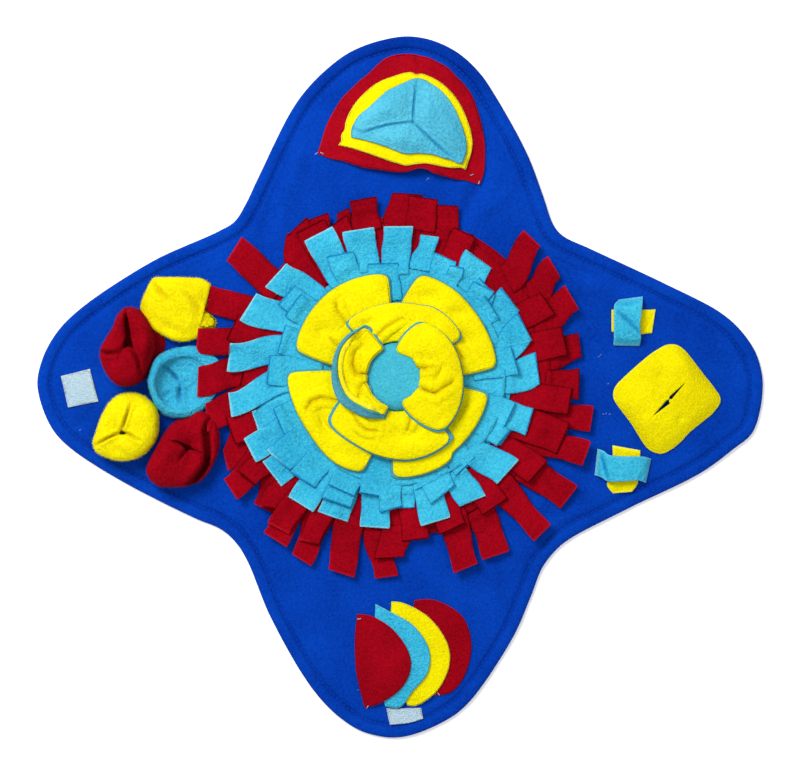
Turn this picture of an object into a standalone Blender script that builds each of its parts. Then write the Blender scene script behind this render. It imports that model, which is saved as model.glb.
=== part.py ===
"""Snuffle mat: a four-lobed cloth base that carries a two-colour fringe, a layered flower, and
pockets, flaps and crossing strips in which treats are hidden.

Run it with blender --background --python part.py, or from Blender's text editor.
All sizes below are millimetres, and become metres where a mesh is stored. The origin is the
middle of the mat's underside, +X is the mat's long way and +Z is up.
"""

import math

import bmesh
import bpy
import numpy as np

MM = 0.001

# Base cloth
HALF_LENGTH = 300.0
HALF_WIDTH = 290.0
MAT_TOP = 4.6
SEAT_GAP = 0.3
GROUND = MAT_TOP + SEAT_GAP
OUTLINE_STEPS = 2

# Knots of the base cloth's edge, counter-clockwise from the right lobe's tip: x, y.
MAT_KNOTS = (
    (300, 0), (296, 25), (285, 44), (266, 62), (216, 88), (156, 116), (135, 126), (127, 135),
    (118, 160), (106, 192), (80, 240), (65, 262), (46, 279), (23, 289),
    (0, 291), (-36, 281), (-61, 264), (-86, 236), (-118, 173), (-128, 152), (-137, 138), (-150, 130),
    (-205, 105), (-268, 63), (-287, 42), (-298, 18),
    (-300, 0), (-290, -30), (-276, -47), (-232, -76), (-169, -108), (-148, -117), (-135, -129),
    (-126, -144), (-107, -190), (-74, -247), (-52, -271), (-29, -285),
    (0, -289), (38, -275), (57, -260), (93, -207), (108, -173), (118, -148), (129, -134), (140, -125),
    (190, -99), (249, -70), (275, -51), (292, -36),
)

# Hem and edge, from the underside outwards and back in: distance inside the edge, height.
HEM_SECTIONS = ((2.6, 0.0), (0.0, 2.5), (1.2, 4.8), (4.6, 5.7), (8.2, 5.1), (10.6, 3.9), (13.6, MAT_TOP))
INNER_RINGS = (0.88, 0.74, 0.58, 0.34)

# Soft ridges in the bare cloth: start x, y, end x, y, half width, height.
RIPPLES = (
    (-74, 226, -101, 150, 11, 2.4),
    (-142, 126, -118, 148, 9, 1.6),
    (86, 210, 104, 150, 10, 2.0),
    (112, -190, 88, -150, 10, 1.6),
)

# Flower and fringe share this centre.
FLOWER_X = -2.5
FLOWER_Y = 8.3
CLOTH = 2.0
LAYER_PITCH = 2.5
STRIP_PULL = 0.4
RISE_START = 100.0
RISE_SLOPE = 0.06

# Fringe bands: inner radius, root radius, root width, first root angle, steps in a strip.
RED_BAND = dict(inner=58.0, root=104.0, root_width=27.0, first_deg=102.0, steps=4)
CYAN_BAND = dict(inner=48.0, root=72.0, root_width=23.0, first_deg=92.0, steps=4)

# Strips in order round the flower, every other one in the upper band:
# angle of the tip, reach from the flower's centre, width at the tip, direction of the tip.
RED_STRIPS = (
    (100.8, 149, 22, 100), (86.7, 151, 25, 88), (81.5, 149, 24, 80), (74.0, 147, 21, 82),
    (65.8, 130, 21, 76), (55.0, 113, 26, 55), (45.7, 159, 20, 41), (35.1, 158, 20, 31),
    (24.4, 158, 23, 26), (9.8, 153, 21, 2), (-2.3, 150, 25, -3), (-12.2, 164, 21, -10),
    (-22.0, 168, 21, -19), (-35.0, 173, 23, -39), (-47.0, 175, 19, -47), (-61.0, 168, 23, -71),
    (-70.2, 167, 21, -70), (-83.4, 135, 21, -84), (-92.3, 149, 24, -88), (-93.0, 165, 19, -84),
    (-105.8, 168, 23, -104), (-117.5, 170, 19, -121), (-126.8, 167, 22, -125), (-135.0, 154, 20, -118),
    (-146.0, 165, 21, -152), (-154.0, 157, 18, -163), (-168.0, 160, 24, -172), (-178.6, 164, 25, -182),
    (-190.3, 167, 22, -190), (-202.6, 171, 22, -203), (-218.2, 170, 24, -218), (-236.6, 149, 22, -232),
    (-243.8, 147, 18, -244), (-252.0, 144, 12, -250),
)
CYAN_STRIPS = (
    (89.4, 123.5, 24, 88), (76.9, 119, 15, 80), (67.8, 106, 20, 68), (55.4, 118, 26, 55),
    (45.0, 105, 20, 45), (34.4, 113, 25, 33), (21.2, 113, 25, 22), (3.5, 116, 27, 12),
    (-18.8, 115, 23, -19), (-28.0, 103, 20, -33), (-40.6, 120, 26, -43), (-58.7, 119.5, 24, -64),
    (-75.0, 123, 25, -73), (-88.4, 108, 24, -86), (-98.4, 125, 24, -94), (-114.7, 126.5, 26, -112),
    (-127.0, 131, 24, -121), (-142.2, 130, 26, -147), (-153.4, 135, 22, -152), (-162.0, 122, 20, -165),
    (-170.5, 139, 20, -176), (-186.6, 139, 23, -189), (-205.2, 135, 26, -212), (-220.0, 130, 26, -217),
    (-241.2, 134, 26, -242), (-255.2, 125, 26, -261),
)

# Petals: name, start and end angle, inner radius, outer radius at the start, middle and end,
# turn of the inner corners at the start and end, tier (0 lowest), outline points.
PETAL_FIRST_TIER = 15.0
PETAL_TIER_PITCH = 6.4
PETAL_CROWN = 2.0
PETAL_BACK = 1.7
PETAL_PROUD = 1.3
PETALS = (
    ("outer_1", 95, 165, 30, 86, 92, 88, 3, 8, 0, 18),
    ("outer_2", 6, 84, 30, 83, 85, 88, -5, 10, 0, 18),
    ("outer_3", -92, -11, 30, 82, 79, 75, -2, 4, 0, 18),
    ("outer_4", -182, -110, 30, 92, 88, 86, -5, 6, 0, 18),
    ("inner_1", 32, 133, 30, 64, 68, 62, 0, 0, 1, 18),
    ("inner_4", -146, -49, 29, 68, 69, 69, 0, -8, 1, 18),
    ("inner_2", -46, 66, 20, 56, 54, 52, -34, 24, 2, 20),
)
CURLED_PETAL = ("inner_3", 113, 250, 25, 46, 54, 38, 0, 4, 1.84, 22)
# The curled petal's rise: share of its width, height over its tier.
CURL_PROFILE = ((0.0, 1.5), (0.35, 0.0), (0.7, 0.4), (0.93, 3.0), (1.0, 7.5), (0.92, 12.0))
PETAL_RINGS = (1.0, 0.78, 0.42)
CURL_RINGS = (1.0, 0.82, 0.6, 0.36, 0.12)
CURL_GAP = 1.3

# Centre dome
DOME_RADIUS = 28.0
DOME_HEIGHT = 25.5

# Cups. Body and foot radii are at every 30 degrees from +X. The mouth is an ellipse.
CUP_WALL = 4.5
CUPS = (
    dict(name="pocket_red_left", colour="red", centre=(-223, 30), height=33, drop=0.12, drop_deg=60,
         body=(19, 22, 27, 35, 27, 23, 25, 24, 29, 28, 23, 19), foot=None,
         mouth=(-225, 45, 15, 3.6), mouth_deg=92),
    dict(name="pocket_yellow_left", colour="yellow", centre=(-227, -34), height=29, drop=0.1, drop_deg=200,
         body=(27, 29, 30, 28, 25, 22, 23, 29, 28, 26, 26, 26), foot=None,
         mouth=(-230, -37, 7, 3.6), mouth_deg=40),
    dict(name="pocket_red_low", colour="red", centre=(-182, -54), height=30, drop=0.35, drop_deg=10,
         body=(30, 23, 21, 24, 21, 19, 20, 30, 32, 27, 28, 30), foot=None,
         mouth=(-180, -50, 10, 3.6), mouth_deg=-25),
    dict(name="pocket_cyan", colour="cyan", centre=(-184, 3), height=26, drop=0.6, drop_deg=0,
         body=(13, 15, 25, 30, 27, 26, 24, 24, 26, 27, 25, 17),
         foot=(31, 36, 24, 27, 24, 22, 20, 20, 23, 25, 23, 30),
         mouth=(-188, 3, 17, 12), mouth_deg=90),
)
CUP_POINTS = 18

# Cup lying on its side: x, low y, high y, height of its top.
LYING_CUP = (
    (-214, 59, 73, 10.0), (-209, 51, 84, 15.0), (-199, 44, 90, 18.5), (-185, 38.5, 90.5, 18.5),
    (-173, 38.5, 90, 16.6), (-166, 44, 88, 15.4),
)
LYING_WALL = 2.0
LYING_POINTS = 16

# Sheets sewn down by their edges: knots x, y, with a third value of 1 at a sharp corner.
FAN = (
    ("fan_red", "fan_red", ((-69, 192, 1), (-61, 215), (-44, 244), (-17, 268), (7, 276), (29, 270),
                            (53, 246), (68, 211), (70, 185), (65, 168, 1), (37, 173), (2, 178), (-41, 185))),
    ("fan_yellow", "yellow", ((-51, 201, 1), (-45, 219), (-30, 239), (-7, 256), (13, 259), (41, 244),
                              (57, 216), (60, 198), (54, 180, 1), (29, 183), (5, 182), (-24, 190))),
    ("fan_cyan", "fan_cyan", ((-41, 208, 1), (-36, 220), (-15, 241), (14, 256, 1), (42, 234), (55, 204),
                              (49, 185, 1), (26, 192), (2, 195), (-24, 203))),
)
FAN_RINGS = (1.0, 0.72, 0.38)
FAN_MIDDLE = (5.0, 205.0)
FAN_SPREAD = (62.0, 62.0)
FAN_CROWN = 7.6
FAN_TENT = 4.0
# Seams that hold the top of the fan down: x, y of both ends.
FAN_SEAMS = ((14, 255, 11, 218), (11, 218, -41, 208), (11, 218, 49, 185))
FAN_SEAM_WIDTH = 15.0

FLAPS = (
    ("flap_red_back", "red", ((12, -176, 1), (23, -175), (35, -178), (52, -190), (59, -213), (53, -239),
                              (42, -252), (28, -255, 1), (12, -235), (8, -205))),
    ("flap_yellow", "yellow", ((-7, -177, 1), (3, -178), (24, -190), (39, -211), (41, -228), (31, -250),
                               (13, -263), (6, -263, 1), (-4, -235), (-8, -205))),
    ("flap_cyan", "cyan", ((-20, -179, 1), (-10, -184), (11, -196), (24, -216), (23, -235), (11, -250),
                           (0, -264), (-12, -264, 1), (-18, -235), (-21, -205))),
    ("flap_red_front", "red", ((-35, -187, 1), (-22, -189), (-2, -203), (9, -225), (4, -244), (-13, -259),
                               (-29, -265, 1), (-36, -235), (-37, -206))),
)
FLAP_RINGS = (1.0, 0.8, 0.54, 0.28)
FLAP_POINTS = 24
FAN_POINTS = 32
STACK_PITCH = 2.7
STACK_MARGIN = 5.0
STACK_RAMP = 15.0

# Domed square pouch with a slit across it.
POUCH_CENTRE = (220.0, -10.5)
POUCH_HALF = 32.5
POUCH_TURN_DEG = 47.0
POUCH_CROWN = 9.0
POUCH_SLIT = (18.5, 1.3)
POUCH_SLIT_DEG = 46.0
POUCH_RINGS = (1.0, 0.9, 0.66, 0.36, 0.0)
POUCH_POINTS = 28

# Crossing strips: name, colour, start x, y, end x, y, width at start and end, arch.
CROSSINGS = (
    ("strip_upper_yellow", "yellow", 175.5, 55, 210, 54, 18, 20, 0.8),
    ("strip_upper_cyan", "cyan", 191, 74, 187.5, 34, 20, 21, 9.0),
    ("strip_lower_yellow", "yellow", 187.5, -51, 185.5, -87, 23, 20, 0.8),
    ("strip_lower_cyan", "cyan", 163, -61.5, 205.5, -69.5, 21, 20, 9.0),
)
CROSSING_STEPS = 9

# Hook-and-loop patches: corners x, y.
PATCHES = (
    ("patch_left", ((-280, 9), (-274, -17), (-249, -12), (-256, 15))),
    ("patch_bottom", ((-11, -267), (-8.5, -277), (9, -276.5), (18, -273), (17, -266))),
)
PATCH_THICK = 1.5

COLOURS = {
    "blue": (0.0018, 0.044, 0.39),
    "red": (0.296, 0.0021, 0.0091),
    "fan_red": (0.36, 0.004, 0.012),
    "yellow": (0.99, 0.84, 0.004),
    "cyan": (0.038, 0.51, 0.78),
    "fan_cyan": (0.093, 0.565, 0.84),
    "teal": (0.075, 0.545, 0.72),
    "white": (0.51, 0.70, 0.89),
}


# --- Small geometry helpers ---------------------------------------------------------------

def smooth(value):
    """0 below 0, 1 above 1, and an even S between."""
    value = np.clip(value, 0.0, 1.0)
    return value * value * (3.0 - 2.0 * value)


def through(knots, closed, steps):
    """Points on a centripetal Catmull-Rom curve through the knots, `steps` to a span."""
    knots = [np.array(knot, float) for knot in knots]
    if closed:
        row = [knots[-1], *knots, knots[0], knots[1]]
    else:
        row = [2 * knots[0] - knots[1], *knots, 2 * knots[-1] - knots[-2]]
    points = []
    for p0, p1, p2, p3 in zip(row, row[1:], row[2:], row[3:]):
        t1 = math.sqrt(np.linalg.norm(p1 - p0))
        t2 = t1 + math.sqrt(np.linalg.norm(p2 - p1))
        t3 = t2 + math.sqrt(np.linalg.norm(p3 - p2))
        for step in range(steps):
            t = t1 + (t2 - t1) * step / steps
            a1 = (t1 - t) / t1 * p0 + t / t1 * p1
            a2 = (t2 - t) / (t2 - t1) * p1 + (t - t1) / (t2 - t1) * p2
            a3 = (t3 - t) / (t3 - t2) * p2 + (t - t2) / (t3 - t2) * p3
            b1 = (t2 - t) / t2 * a1 + t / t2 * a2
            b2 = (t3 - t) / (t3 - t1) * a2 + (t - t1) / (t3 - t1) * a3
            points.append((t2 - t) / (t2 - t1) * b1 + (t - t1) / (t2 - t1) * b2)
    if not closed:
        points.append(knots[-1])
    return np.array(points)


def spaced(points, count):
    """`count` points at even distances along a path, both ends included."""
    along = np.concatenate([[0], np.cumsum(np.linalg.norm(np.diff(points, axis=0), axis=1))])
    at = np.linspace(0, along[-1], count)
    return np.column_stack([np.interp(at, along, points[:, axis]) for axis in range(2)])


def outline(knots, count):
    """A closed outline of about `count` points: smooth through its knots but for its corners."""
    corners = [i for i, knot in enumerate(knots) if len(knot) == 3]
    sides = []
    for start, end in zip(corners, corners[1:] + [corners[0] + len(knots)]):
        side = [knots[i % len(knots)][:2] for i in range(start, end + 1)]
        sides.append(through(side, False, 8))
    lengths = [np.linalg.norm(np.diff(side, axis=0), axis=1).sum() for side in sides]
    whole = sum(lengths)
    pieces = [
        spaced(side, max(3, round(count * length / whole) + 1))[:-1]
        for side, length in zip(sides, lengths)
    ]
    return np.concatenate(pieces)


def distance_outside(points, edge):
    """Distance of each point from a closed outline, negative inside it."""
    starts = edge
    spans = np.roll(edge, -1, axis=0) - edge
    offsets = points[:, None, :] - starts[None, :, :]
    share = np.clip((offsets * spans).sum(-1) / (spans * spans).sum(-1), 0, 1)
    nearest = np.linalg.norm(offsets - share[..., None] * spans, axis=-1).min(axis=1)
    x, y = points[:, 0][:, None], points[:, 1][:, None]
    ends = starts + spans
    crosses = (starts[:, 1] > y) != (ends[:, 1] > y)
    at = starts[:, 0] + (y - starts[:, 1]) / np.where(spans[:, 1] == 0, 1, spans[:, 1]) * spans[:, 0]
    inside = (crosses & (x < at)).sum(axis=1) % 2 == 1
    return np.where(inside, -nearest, nearest)


def polar(angle_deg, radius):
    angle = np.radians(angle_deg)
    return np.stack([FLOWER_X + radius * np.cos(angle), FLOWER_Y + radius * np.sin(angle)], axis=-1)


def radius_at(radii, angles):
    """A smooth closed radius through values given at even angles."""
    turns = np.arange(len(radii)) * 2 * math.pi / len(radii)
    orders = range(1, len(radii) // 2)
    radii = np.array(radii, float)
    found = np.full(len(angles), radii.mean())
    for order in orders:
        found += 2 * (radii * np.cos(order * turns)).mean() * np.cos(order * angles)
        found += 2 * (radii * np.sin(order * turns)).mean() * np.sin(order * angles)
    return found


def with_height(points, height):
    return np.column_stack([points, np.broadcast_to(height, len(points))])


# --- Scene and object helpers -------------------------------------------------------------

def clear_scene():
    for obj in list(bpy.data.objects):
        bpy.data.objects.remove(obj, do_unlink=True)


def collection_for(name):
    made = bpy.data.collections.new(name)
    bpy.context.scene.collection.children.link(made)
    return made


def fabric(name):
    """A matt fleece or felt in one of the mat's colours."""
    material = bpy.data.materials.get(name) or bpy.data.materials.new(name)
    material.use_nodes = True
    shader = material.node_tree.nodes["Principled BSDF"]
    shader.inputs["Base Color"].default_value = (*COLOURS[name], 1.0)
    shader.inputs["Roughness"].default_value = 0.95
    shader.inputs["Metallic"].default_value = 0.0
    return material


def store(name, bm, colour):
    """Makes an object of a mesh in millimetres."""
    bmesh.ops.scale(bm, verts=bm.verts, vec=(MM, MM, MM))
    mesh = bpy.data.meshes.new(name)
    bm.to_mesh(mesh)
    bm.free()
    mesh.shade_smooth()
    mesh.set_sharp_from_angle(angle=math.radians(45))
    mesh.materials.append(fabric(colour))
    obj = bpy.data.objects.new(name, mesh)
    parts.objects.link(obj)
    return obj


def loft(bm, loops):
    """Skins closed loops of equal length one after another. Gives the rows of vertices."""
    rows = [[bm.verts.new(point) for point in loop] for loop in loops]
    for lower, upper in zip(rows, rows[1:]):
        for i in range(len(lower)):
            j = (i + 1) % len(lower)
            bm.faces.new((lower[i], lower[j], upper[j], upper[i]))
    return rows


def close_flat(bm, row):
    bm.faces.new(row)


def close_peak(bm, row, point):
    """Closes a loop with triangles to one middle vertex."""
    middle = bm.verts.new(point)
    for i, vert in enumerate(row):
        bm.faces.new((vert, row[(i + 1) % len(row)], middle))


def face_out(bm):
    bmesh.ops.recalc_face_normals(bm, faces=bm.faces)


def face_up(bm):
    """Turns an open surface so that its top side is its front."""
    bmesh.ops.recalc_face_normals(bm, faces=bm.faces)
    bm.normal_update()
    if sum(face.normal.z * face.calc_area() for face in bm.faces) < 0:
        bmesh.ops.reverse_faces(bm, faces=bm.faces)
    bm.normal_update()


def thicken(obj, thickness):
    """Gives an open cloth surface its thickness, upwards from where it lies."""
    shell = obj.modifiers.new("Thickness", "SOLIDIFY")
    shell.thickness = thickness * MM
    shell.offset = 1.0
    return obj


# --- Base cloth ---------------------------------------------------------------------------

def ripple_height(points):
    height = np.zeros(len(points))
    for x0, y0, x1, y1, half_width, rise in RIPPLES:
        start, way = np.array([x0, y0]), np.array([x1 - x0, y1 - y0])
        share = ((points - start) @ way) / (way @ way)
        across = np.abs((points - start) @ np.array([-way[1], way[0]])) / np.linalg.norm(way)
        ends = smooth(share * 3) * smooth((1 - share) * 3)
        height += rise * ends * np.exp(-((across / half_width) ** 2))
    return height


def mat_edge():
    """The edge of the base cloth, scaled to its full length and width."""
    edge = through(MAT_KNOTS, True, OUTLINE_STEPS)
    for axis, half in enumerate((HALF_LENGTH, HALF_WIDTH)):
        low, high = edge[:, axis].min(), edge[:, axis].max()
        edge[:, axis] = (edge[:, axis] - (low + high) / 2) * 2 * half / (high - low)
    return edge


def inward_of(edge):
    ahead = np.roll(edge, -1, axis=0) - np.roll(edge, 1, axis=0)
    ahead /= np.linalg.norm(ahead, axis=1)[:, None]
    return np.column_stack([-ahead[:, 1], ahead[:, 0]])


def base_cloth():
    edge = mat_edge()
    inward = inward_of(edge)
    loops = [with_height(edge + inward * inset, height) for inset, height in HEM_SECTIONS]
    inner_edge = edge + inward * HEM_SECTIONS[-1][0]
    for ring in INNER_RINGS:
        flat = inner_edge * ring
        loops.append(with_height(flat, MAT_TOP + ripple_height(flat)))
    bm = bmesh.new()
    rows = loft(bm, loops)
    close_flat(bm, rows[0][::-1])
    close_peak(bm, rows[-1], (0, 0, MAT_TOP))
    face_out(bm)
    store("mat", bm, "blue")


# --- Fringe -------------------------------------------------------------------------------

def fringe_height(points, level):
    """Bands lie flat on each other. Past the roots the strips spring up a little."""
    radius = np.hypot(points[:, 0] - FLOWER_X, points[:, 1] - FLOWER_Y)
    return GROUND + level * LAYER_PITCH + np.maximum(0, radius - RISE_START) * RISE_SLOPE


def strip_sides(root_deg, band, tip_deg, reach, width, way_deg):
    """Left and right edge points of one strip, from its root to its square end."""
    start, tip = polar(root_deg, band["root"]), polar(tip_deg, reach)
    third = np.linalg.norm(tip - start) / 3
    out = np.array([math.cos(math.radians(root_deg)), math.sin(math.radians(root_deg))])
    way = np.array([math.cos(math.radians(way_deg)), math.sin(math.radians(way_deg))])
    leave, arrive = start + out * third, tip - way * third
    sides = []
    for step in range(1, band["steps"] + 1):
        t = step / band["steps"]
        u = 1 - t
        middle = u**3 * start + 3 * u * u * t * leave + 3 * u * t * t * arrive + t**3 * tip
        along = u * u * (leave - start) + 2 * u * t * (arrive - leave) + t * t * (tip - arrive)
        along /= np.linalg.norm(along)
        half = (band["root_width"] + (width - band["root_width"]) * smooth(t * 1.6)) / 2
        left = np.array([-along[1], along[0]]) * half
        sides.append(np.array([middle + left, middle - left]))
    return sides


def grow(bm, left, right, new_left, new_right):
    """Extrudes the edge between two vertices and moves the new edge's ends to their places."""
    grown = bmesh.ops.extrude_edge_only(bm, edges=[bm.edges.get((left, right))])["geom"]
    fresh = [item for item in grown if isinstance(item, bmesh.types.BMVert)]
    fresh.sort(key=lambda vert: bm.edges.get((vert, left)) is None)
    fresh[0].co, fresh[1].co = new_left, new_right
    return fresh


def fringe(name, colour, strips, band, level, first):
    """One cut band: a flat ring with every other strip of the table standing out from it."""
    half_deg = math.degrees(math.asin(band["root_width"] / 2 / band["root"]))
    spacing = 360 / len(strips)
    rows = []
    for i in range(first, len(strips), 2):
        slot = band["first_deg"] - i * spacing
        rows.append((slot + STRIP_PULL * (strips[i][0] - slot), strips[i]))
    corners = [root + side * half_deg for root, _ in rows for side in (1, -1)]
    bm = bmesh.new()
    inner, outer = (
        [bm.verts.new(point) for point in with_height(ring, fringe_height(ring, level))]
        for ring in (polar(np.array(corners), band["inner"]), polar(np.array(corners), band["root"]))
    )
    for i in range(len(corners)):
        j = (i + 1) % len(corners)
        bm.faces.new((inner[i], outer[i], outer[j], inner[j]))
    for k, (root_deg, (tip_deg, reach, width, way_deg)) in enumerate(rows):
        left, right = outer[2 * k], outer[2 * k + 1]
        for ends in strip_sides(root_deg, band, tip_deg, reach, width, way_deg):
            left, right = grow(bm, left, right, *with_height(ends, fringe_height(ends, level)))
    face_up(bm)
    thicken(store(name, bm, colour), CLOTH)


def fringes():
    fringe("fringe_red_low", "red", RED_STRIPS, RED_BAND, 0, 1)
    fringe("fringe_red_high", "red", RED_STRIPS, RED_BAND, 1, 0)
    fringe("fringe_cyan_low", "cyan", CYAN_STRIPS, CYAN_BAND, 2, 1)
    fringe("fringe_cyan_high", "cyan", CYAN_STRIPS, CYAN_BAND, 3, 0)


# --- Flower -------------------------------------------------------------------------------

def petal_place(petal, across, along):
    """Angle, inner and outer radius of a petal at across = -1..1 (start..end), along = -1..1."""
    _, start, end, inner, out_start, out_middle, out_end, turn_start, turn_end, _, _ = petal
    share = (across + 1) / 2
    depth = (1 - along) / 2
    turn = (turn_start * (1 - share) + turn_end * share) * depth
    angle = start + (end - start) * share + turn
    outer = out_start * (1 - share) + out_end * share
    outer = outer + (out_middle - (out_start + out_end) / 2) * (1 - across**2)
    return angle, inner, outer


def petal_loops(petal, curl):
    """Loops from just past a petal's rim to near its middle, as points of its lower surface."""
    tier, count = petal[9], petal[10]
    level = PETAL_FIRST_TIER + tier * PETAL_TIER_PITCH
    turns = np.arange(count) * 2 * math.pi / count
    square = (np.abs(np.cos(turns)) ** 6 + np.abs(np.sin(turns)) ** 6) ** (-1 / 6)
    _, inner, outer = petal_place(petal, np.zeros(1), np.zeros(1))
    half_width = float(outer[0] - inner) / 2
    half_arc = math.radians(abs(petal[2] - petal[1])) / 2 * float(outer[0] + inner) / 2
    rings = CURL_RINGS if curl else PETAL_RINGS
    loops = []
    for ring, proud in ((1.0, PETAL_PROUD), *((ring, 0.0) for ring in rings)):
        across = np.cos(turns) * square * (ring + proud / half_arc)
        along = np.sin(turns) * square * (ring + proud / half_width)
        loops.append(petal_points(petal, across, along, level, curl))
    return loops, petal_points(petal, np.zeros(1), np.zeros(1), level, curl)[0]


def petal_points(petal, across, along, level, curl):
    angle, inner, outer = petal_place(petal, across, along)
    share = (along + 1) / 2
    if curl:
        shares = np.linspace(0, 1, len(CURL_PROFILE))
        reach = np.interp(share, shares, [row[0] for row in CURL_PROFILE])
        lift = np.interp(share, shares, [row[1] for row in CURL_PROFILE])
        lift = lift + np.maximum(0, share - 1) * 10
        reach = reach - np.maximum(0, share - 1) * 0.3
        ends = smooth((1.05 - np.abs(across)) * 3)
        lift = lift * (0.45 + 0.55 * ends)
    else:
        reach = share
        lift = PETAL_CROWN * (1 - np.clip(np.maximum(across**2, along**2), 0, 1))
    flat = polar(angle, inner + (outer - inner) * reach)
    return with_height(flat, level + lift)


def petal_sheet(name, colour, petal, curl, raised, thickness, trimmed):
    """One cloth of a petal, `raised` off its lower surface. The face is trimmed to the rim."""
    loops, middle = petal_loops(petal, curl)
    bm = bmesh.new()
    rows = loft(bm, loops)
    close_peak(bm, rows[-1], middle)
    face_up(bm)
    for vert, normal in [(vert, vert.normal.copy()) for vert in bm.verts]:
        vert.co += normal * raised
    if trimmed:
        bmesh.ops.delete(bm, geom=rows[0], context="VERTS")
        bm.normal_update()
    thicken(store(name, bm, colour), thickness)


def flower():
    for petal in (*PETALS, CURLED_PETAL):
        curl = petal is CURLED_PETAL
        face_raise = PETAL_BACK + (CURL_GAP if curl else SEAT_GAP)
        petal_sheet(f"petal_{petal[0]}_back", "teal", petal, curl, 0.0, PETAL_BACK, False)
        petal_sheet(f"petal_{petal[0]}_front", "yellow", petal, curl, face_raise, CLOTH, True)
    bm = bmesh.new()
    bmesh.ops.create_uvsphere(bm, u_segments=18, v_segments=10, radius=1.0)
    for vert in bm.verts:
        vert.co = (vert.co.x * DOME_RADIUS + FLOWER_X, vert.co.y * DOME_RADIUS + FLOWER_Y,
                   GROUND + max(0.0, vert.co.z) * DOME_HEIGHT)
    store("flower_centre", bm, "teal")


# --- Pockets ------------------------------------------------------------------------------

def ellipse_radius(angles, long_half, short_half, turn_deg):
    turned = angles - math.radians(turn_deg)
    return long_half * short_half / np.hypot(short_half * np.cos(turned), long_half * np.sin(turned))


def cup(row):
    """A gathered cup sewn down by its foot, its thick rim rolled in to a narrow mouth."""
    angles = np.arange(CUP_POINTS) * 2 * math.pi / CUP_POINTS
    spokes = np.column_stack([np.cos(angles), np.sin(angles)])
    centre = np.array(row["centre"], float)
    body = radius_at(row["body"], angles)[:, None] * spokes + centre
    foot_radii = row["foot"] or [radius * 0.88 for radius in row["body"]]
    foot = radius_at(foot_radii, angles)[:, None] * spokes + centre
    inside = (radius_at(row["body"], angles) - CUP_WALL)[:, None] * spokes + centre
    mouth_x, mouth_y, long_half, short_half = row["mouth"]
    lips = ellipse_radius(angles, long_half, short_half, row["mouth_deg"])[:, None] * spokes
    lips = lips + np.array([mouth_x, mouth_y])
    towards = np.cos(angles - math.radians(row["drop_deg"]))
    height = row["height"] * (1 - row["drop"] * (1 + towards) / 2)

    def between(first, second, share):
        return first + (second - first) * share

    def shrink(points, share):
        return centre + (points - centre) * share

    sections = (
        (foot, 0.0, 0.0), (foot, 1.7, 0.0), (shrink(body, 0.94), 2.3, 0.04),
        (shrink(body, 0.99), 1.2, 0.3), (body, 0.0, 0.58), (shrink(body, 0.95), 0.0, 0.84),
        (between(body, lips, 0.34), 0.0, 0.98), (between(body, lips, 0.72), 0.0, 0.99),
        (lips, 0.0, 0.92), (lips, 0.0, 0.80),
        (between(inside, lips, 0.3), 0.0, 0.70), (shrink(inside, 0.96), 0.0, 0.46),
        (shrink(inside, 0.88), 2.0, 0.14), (shrink(inside, 0.6), 2.2, 0.0),
    )
    bm = bmesh.new()
    rows = loft(bm, [with_height(flat, GROUND + lift + share * height) for flat, lift, share in sections])
    close_flat(bm, rows[0][::-1])
    close_peak(bm, rows[-1], (*centre, GROUND + 2.0))
    face_out(bm)
    store(row["name"], bm, row["colour"])


def lying_section(x, low, high, top, wall):
    """One upright oval across the lying cup, flat below, inset by the wall where inside."""
    turns = np.arange(LYING_POINTS) * 2 * math.pi / LYING_POINTS
    half, middle = (high - low) / 2 - wall, (high + low) / 2
    tall = (top - GROUND) / 2 - wall
    y = middle + half * np.sign(np.cos(turns)) * np.abs(np.cos(turns)) ** 0.8
    z = GROUND + wall + tall * (1 + np.sign(np.sin(turns)) * np.abs(np.sin(turns)) ** 0.55)
    return np.column_stack([np.full(LYING_POINTS, x), y, z])


def lying_cup():
    """A cup that has flopped on its side, with its mouth towards the flower."""
    outside = [lying_section(*row, 0.0) for row in LYING_CUP]
    inside = [lying_section(*row, LYING_WALL) for row in LYING_CUP[:0:-1]]
    bm = bmesh.new()
    rows = loft(bm, outside + inside)
    first = LYING_CUP[0]
    middle_y = (first[1] + first[2]) / 2
    close_peak(bm, rows[0][::-1], (first[0] - 2.0, middle_y, (GROUND + first[3]) / 2))
    close_peak(bm, rows[-1], (LYING_CUP[1][0] - 1.5, middle_y, (GROUND + LYING_CUP[1][3]) / 2))
    face_out(bm)
    store("pocket_yellow_top", bm, "yellow")


def pockets():
    for row in CUPS:
        cup(row)
    lying_cup()


# --- Sewn-down sheets ---------------------------------------------------------------------

def ringed_sheet(name, colour, edge, rings, height):
    """A cloth sheet of scaled copies of its edge about its middle, at the given heights."""
    middle = edge.mean(axis=0)
    bm = bmesh.new()
    flats = [middle + (edge - middle) * ring for ring in rings]
    rows = loft(bm, [with_height(flat, height(flat)) for flat in flats])
    close_peak(bm, rows[-1], (*middle, float(height(middle[None, :])[0])))
    face_up(bm)
    thicken(store(name, bm, colour), CLOTH)


def fan_crown(points):
    offset = (points - np.array(FAN_MIDDLE)) / np.array(FAN_SPREAD)
    return FAN_CROWN * smooth(1.25 - np.hypot(offset[:, 0], offset[:, 1]))


def seam_hold(points):
    """0 on a seam and 1 well away from every seam."""
    nearest = np.full(len(points), 1e9)
    for x0, y0, x1, y1 in FAN_SEAMS:
        start, way = np.array([x0, y0]), np.array([x1 - x0, y1 - y0])
        share = np.clip(((points - start) @ way) / (way @ way), 0, 1)
        nearest = np.minimum(nearest, np.linalg.norm(points - start - share[:, None] * way, axis=1))
    return smooth(nearest / FAN_SEAM_WIDTH)


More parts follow.
